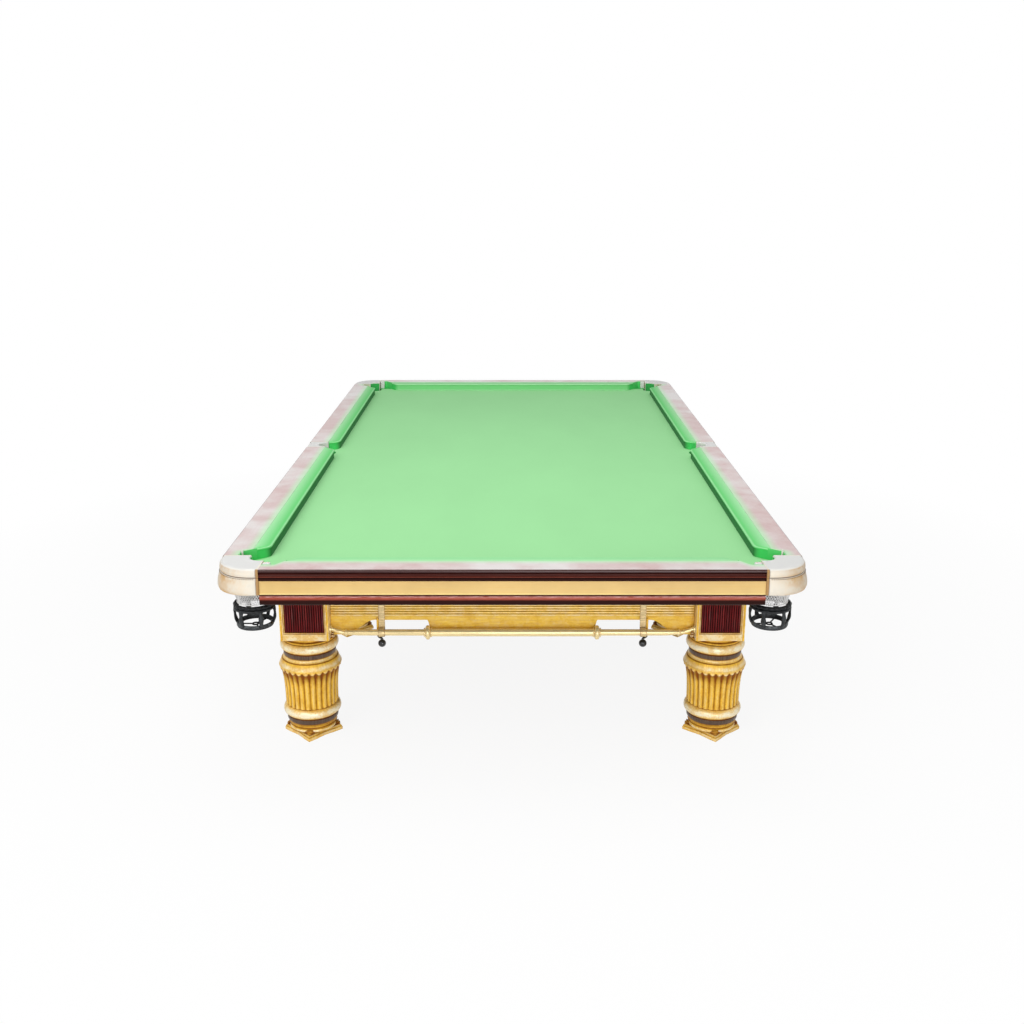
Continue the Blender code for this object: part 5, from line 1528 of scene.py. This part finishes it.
class TABLE_OT_aprons(bpy.types.Operator):
    """Build the shaped, reeded aprons and the side beams that carry them"""

    bl_idname = "table.aprons"
    bl_label = "Aprons"

    def execute(self, context):
        sizes = context.scene.table_sizes
        finished = {"finish_name": "apron_gold", "slot": "gold_lacquer", "round_edges": sizes.edge_round}
        for end, y_way in ENDS.items():
            shape = Skin()
            middle = (0.0, y_way * END_LEG_Y)
            self.bay(shape, sizes.apron_reeds, middle, BLOCK_FACE - SEAT, (0.0, y_way), FRAME_TOP)
            shape.make("apron_" + end, node="end_apron_" + end, **finished)
        rows = list(LEG_ROWS.values())
        base = BLOCK_TOP + 0.0005
        for side, x_way in SIDES.items():
            node = "side_beam_" + side
            low, high = node_box(node)
            shape = Skin()
            for before, after in zip(rows, rows[1:]):
                half = (after - before) / 2 - BLOCK_HALF - SEAT
                middle = (x_way * LEG_X, (before + after) / 2)
                self.bay(shape, sizes.apron_reeds, middle, half, (x_way, 0.0), BLOCK_TOP + SEAT)
            corners = np.where(SQUARE < 0, low[:2], high[:2])
            shape.board(raised(corners, base), (0, 0, high[2] - base))
            shape.make("apron_" + side, node=node, **finished)
        return {"FINISHED"}

    def bay(self, shape, reeds, middle, half_span, outward, top):
        """One board and its reeds: strips one above the other, each a half circle carried across it.

        Only the boards at the ends have a tablet.
        """
        out, across = facing(outward)
        base = np.array((*middle, 0.0)) + out * APRON_FACE
        outline = apron_outline(half_span, top, tablet=outward[0] == 0)
        shape.board(base + across * outline[:, :1] + UP * outline[:, 1:], -out * APRON_DEEP, wear=0.14)
        a = np.linspace(0, np.pi, 9)
        centres = APRON_LOWEST + APRON_PITCH * (np.arange(reeds) + 0.5)
        height = (centres[:, None] - 0.5 * APRON_PITCH * np.cos(a)).ravel()
        proud = np.tile(0.0025 + 0.0042 * np.sin(a), reeds)
        z = run_on(APRON_LOWEST, height, APRON_LOWEST + APRON_PITCH * reeds)[:, None]
        depth = run_on(-0.001, proud, -0.001)[:, None]
        reach = half_span - 0.002
        points = base + across * np.array((-reach, reach))[:, None, None] + UP * z + out * depth
        # Darker between the reeds; painted highlight in cream along the reed crests.
        dirt_and_shade = run_on(1.0, np.tile(0.9 * (1 - np.sin(a)), reeds), 1.0)
        worn = run_on(0.0, np.tile(0.6 * np.sin(a) ** 4, reeds), 0.0)
        shape.solid(points, relief=dirt_and_shade, wear=worn)


class TABLE_OT_tie_rails(bpy.types.Operator):
    """Build the brass tie rails with their collars, arms and hangers, and the black rest hooks"""

    bl_idname = "table.tie_rails"
    bl_label = "Tie rails"

    def execute(self, context):
        for end, y_way in ENDS.items():
            y = y_way * ROD_Y
            shape = Skin().solid(self.rod(y))
            for x_way in SIDES.values():
                shape.solid(self.arm(x_way, y))
                self.hanger(shape, x_way, y_way)
                self.nut(shape, x_way, y)
            shape.make("brass_tie_rail_" + end, "polished_brass", node="tie_rail_" + end)
            for side, x_way in SIDES.items():
                hook = Skin()
                self.hook(hook, x_way, y_way)
                hook.make(f"hook_{end}_{side}", "black_hook", node=f"rest_hook_{end}_{side}")
        return {"FINISHED"}

    def rod(self, y):
        """Turned rod from end to end: (x, radius), with a swelled middle between two moulded collars."""
        collar, end = (ROD_COLLAR, 0), (ROD_END, 0)
        half = joined(
            [(0.0, 0.0155)],
            mm(((-16.5, 15.5), (-16, 18.5), (-12.5, 19.5), (-12, 16.8)), collar),
            arc((ROD_COLLAR, 0.019), 0.0095, 200, -20, 15),
            mm(((12, 16), (12.5, 18.5), (15.5, 17.5), (16, 12.5)), collar),
            mm(((-55, 12.2), (-12, 9), (-11, 11.8), (-6, 12.5), (-1.5, 11), (0, 8)), end),
        )
        x, r = np.hsplit(joined((half * (-1, 1))[:0:-1], half), 2)
        a = turns(32)
        return np.stack((x + 0 * a, y + r * np.cos(a), ROD_Z + r * np.sin(a)), -1)

    def arm(self, x_way, y):
        """End arm: a swelling bar that rises from the rod's end to a flange on the leg block."""
        end, face = ROD_END, BLOCK_FACE - SEAT
        x = run_on(end + mm((-3, 6, 18, 32)), face - mm((7.5, 4.5, 4, 0)))
        z = ROD_Z + 0.015 * ramp(x, end, face - 0.006) ** 1.3
        r = mm((6.8, 7.4, 9, 8, 7.6, 9, 15.5, 16))
        fine = np.linspace(0, 7, 29)
        x, z, r = (np.interp(fine, np.arange(8), values) for values in (x, z, r))
        return tube(np.column_stack((x_way * x, np.full(29, y), z)), r, 20)

    def hanger(self, shape, x_way, y_way):
        """Strap: a flat bar with rounded edges down the apron, bent round the rod into an eye."""
        drop = np.linspace((ROD_Y - EYE_RADIUS, ROD_Z + 0.138), (ROD_Y - EYE_RADIUS, ROD_Z + 0.012), 10)
        line = joined(drop, arc((ROD_Y, ROD_Z), EYE_RADIUS, 180, 180 + 335, 36))
        path = np.column_stack((np.full(len(line), x_way * HANGER_X), y_way * line[:, 0], line[:, 1]))
        side = np.array((1.0, 0.0, 0.0))
        normal = np.cross(unit(np.gradient(path, axis=0)), side)
        a = turns(20)
        wide, thick = squarish(a, 0.35)[..., None] * np.reshape((STRAP_HALF, 0.0026), (2, 1, 1))
        points = path[:, None] + side * wide + normal[:, None] * thick
        shape.solid(points, relief=0.3 + 0.55 * np.abs(np.cos(a)) ** 6)

    def nut(self, shape, x_way, y):
        """Small turned finial under the arm's flange."""
        at = (x_way * (BLOCK_FACE - 0.0085), y, ROD_Z + 0.001)
        drop = ((2.5, 0), (5.8, -1), (6.2, -4), (4, -6), (6.8, -9), (7.4, -13), (5.2, -18), (1.2, -20.5))
        dirt_and_shade = np.array((1, 0.4, 0.7, 1, 0.5, 0.4, 0.8, 1))[:, None]
        shape.solid(turned(1.12 * mm(drop), 20, at), relief=dirt_and_shade)

    def hook(self, shape, x_way, y_way):
        """Rest hook: a shank beside the strap that bends in under the eye and swells into a ball."""
        beside = HANGER_X + STRAP_HALF + SEAT + SHANK_RADIUS
        behind = ROD_Y - 0.0135 - SHANK_RADIUS
        under, ball = ROD_Z - 0.0225, ROD_Z - 0.045
        shank = [(beside, behind, z) for z in (ROD_Z + 0.053, ROD_Z + 0.015, under + 0.008)]
        bend = [(beside - 0.004, behind + 0.006, under), (HANGER_X, ROD_Y, under - 0.003)]
        line = smoothed(joined(shank, bend, [(HANGER_X, ROD_Y, ball + 0.0135)]), 40)
        a = np.radians(np.linspace(28, 172, 18))
        globe = np.column_stack((np.full(18, HANGER_X), np.full(18, ROD_Y), ball + BALL_RADIUS * np.cos(a)))
        path = joined(line, globe) * (x_way, y_way, 1)
        radius = run_on(np.full(40, SHANK_RADIUS), BALL_RADIUS * np.sin(a))
        gilt = run_on(np.ones(20), np.zeros(38))[:, None]
        shape.solid(tube(path, radius, 20, up=(0.35, 0.9, 0.1)), wear=gilt)


class TABLE_OT_frame(bpy.types.Operator):
    """Give the slates and the cross beams their finishes"""

    bl_idname = "table.frame"
    bl_label = "Slates and beams"

    def execute(self, context):
        for name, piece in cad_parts.items():
            for start, tone in (("slate_", "honed_slate"), ("cross_beam_", "plain_timber")):
                if name.startswith(start):
                    piece.data.materials.clear()
                    piece.data.materials.append(finish(tone))
        return {"FINISHED"}


def seen_directly(tree):
    """1 for rays from the camera or from a glossy surface, and 0 for the rest."""
    path = put(tree, "ShaderNodeLightPath")
    return reckon(tree, "MAXIMUM", path["Is Camera Ray"], path["Is Glossy Ray"])


class TABLE_OT_stage(bpy.types.Operator):
    """Set the pale floor, the soft lights and the camera"""

    bl_idname = "table.stage"
    bl_label = "Stage"

    def execute(self, context):
        scene = context.scene
        scene.view_settings.view_transform = "Standard"
        self.floor()
        self.world(scene)
        self.softbox("key_light", (-2.6, -5.4, 4.2), (0.0, -1.2, 0.5), 3.4, 138)
        self.softbox("front_light", (0.9, -7.2, 1.0), (0.0, -1.4, 0.6), 3.2, 150)
        self.softbox("top_light", (0.0, -0.8, 4.8), (0.0, -0.3, 0.8), 3.6, 84)
        camera = bpy.data.cameras.new("photo_camera")
        camera.lens = 39.94
        camera.sensor_width = 36.0
        camera.shift_x = -0.0004
        eye = bpy.data.objects.new("photo_camera", camera)
        eye.location = (0.0, -5.6463, 2.1547)
        eye.rotation_euler = (math.radians(73.673), 0.0, 0.0)
        scene.collection.objects.link(eye)
        scene.camera = eye
        return {"FINISHED"}

    def floor(self):
        """Round floor: a disc of rings about the table, far wider than the view, white where it is seen."""
        tone = bpy.data.materials.new("pale_floor")
        tone.use_nodes = True
        tree = tone.node_tree
        shader = tree.nodes["Principled BSDF"]
        plug(tree, shader.inputs["Base Color"], (0.86, 0.86, 0.86))
        plug(tree, shader.inputs["Roughness"], 0.9)
        plug(tree, shader.inputs["Specular IOR Level"], 0.0)
        glow = put(tree, "ShaderNodeEmission", Color=WHITE, Strength=1.0)[0]
        place = put(tree, "ShaderNodeTexCoord")["Object"]
        away = put(tree, "ShaderNodeVectorMath", {"operation": "LENGTH"}, n0=place)["Value"]
        share = reckon(tree, "MULTIPLY", seen_directly(tree), spread(tree, away, 1.6, 3.6, 0.9, 1.0))
        both = put(tree, "ShaderNodeMixShader", n0=share, n1=shader.outputs[0], n2=glow)[0]
        plug(tree, tree.nodes["Material Output"].inputs["Surface"], both)
        radius = np.linspace(0.001, 40.0, 12)[:, None]
        disc = spun(radius, np.full_like(radius, -0.0004), 64)
        Skin().grid(disc).shown("floor", tone)

    def world(self, scene):
        """White to the camera and in reflections, and a softer white as light."""
        world = bpy.data.worlds.new("studio")
        scene.world = world
        world.use_nodes = True
        tree = world.node_tree
        soft = tree.nodes["Background"]
        plug(tree, soft.inputs["Color"], WHITE)
        plug(tree, soft.inputs["Strength"], 0.4)
        white = put(tree, "ShaderNodeBackground", Color=WHITE, Strength=1.0)[0]
        both = put(tree, "ShaderNodeMixShader", n0=seen_directly(tree), n1=soft.outputs[0], n2=white)[0]
        plug(tree, tree.nodes["World Output"].inputs["Surface"], both)

    def softbox(self, name, place, aim, size, power):
        """Round soft lamp at a place, turned towards its aim."""
        light = bpy.data.lights.new(name, "AREA")
        light.shape = "DISK"
        light.size = size
        light.energy = power
        lamp = bpy.data.objects.new(name, light)
        lamp.location = place
        way = np.array(aim) - np.array(place)
        flat = math.hypot(way[0], way[1])
        lamp.rotation_euler = (math.atan2(flat, -way[2]), 0.0, math.atan2(way[1], way[0]) - math.pi / 2)
        bpy.context.scene.collection.objects.link(lamp)


class TABLE_PT_pieces(bpy.types.Panel):
    """Buttons and sizes for the table's pieces"""

    bl_label = "Snooker Table"
    bl_idname = "TABLE_PT_pieces"
    bl_space_type = "VIEW_3D"
    bl_region_type = "UI"
    bl_category = "Table"

    def draw(self, context):
        layout = self.layout
        for operator in OPERATORS:
            layout.operator(operator.bl_idname)
        for group in (context.scene.table_sizes, context.scene.table_colours):
            box = layout.box()
            for key in group.__annotations__:
                box.prop(group, key)


OPERATORS = (
    TABLE_OT_stage,
    TABLE_OT_rails,
    TABLE_OT_cushions,
    TABLE_OT_bed,
    TABLE_OT_leathers,
    TABLE_OT_nets,
    TABLE_OT_legs,
    TABLE_OT_feet,
    TABLE_OT_aprons,
    TABLE_OT_tie_rails,
    TABLE_OT_frame,
)
CLASSES = (TableSizes, TableColours, *OPERATORS, TABLE_PT_pieces)


def register():
    for made in CLASSES:
        bpy.utils.register_class(made)
    bpy.types.Scene.table_sizes = PointerProperty(type=TableSizes)
    bpy.types.Scene.table_colours = PointerProperty(type=TableColours)


def unregister():
    del bpy.types.Scene.table_colours
    del bpy.types.Scene.table_sizes
    for made in reversed(CLASSES):
        bpy.utils.unregister_class(made)


def main():
    register()
    bpy.ops.table.stage()
    bpy.ops.table.rails()
    bpy.ops.table.cushions()
    bpy.ops.table.bed()
    bpy.ops.table.leathers()
    bpy.ops.table.nets()
    bpy.ops.table.legs()
    bpy.ops.table.feet()
    bpy.ops.table.aprons()
    bpy.ops.table.tie_rails()
    bpy.ops.table.frame()


if __name__ == "__main__":
    main()
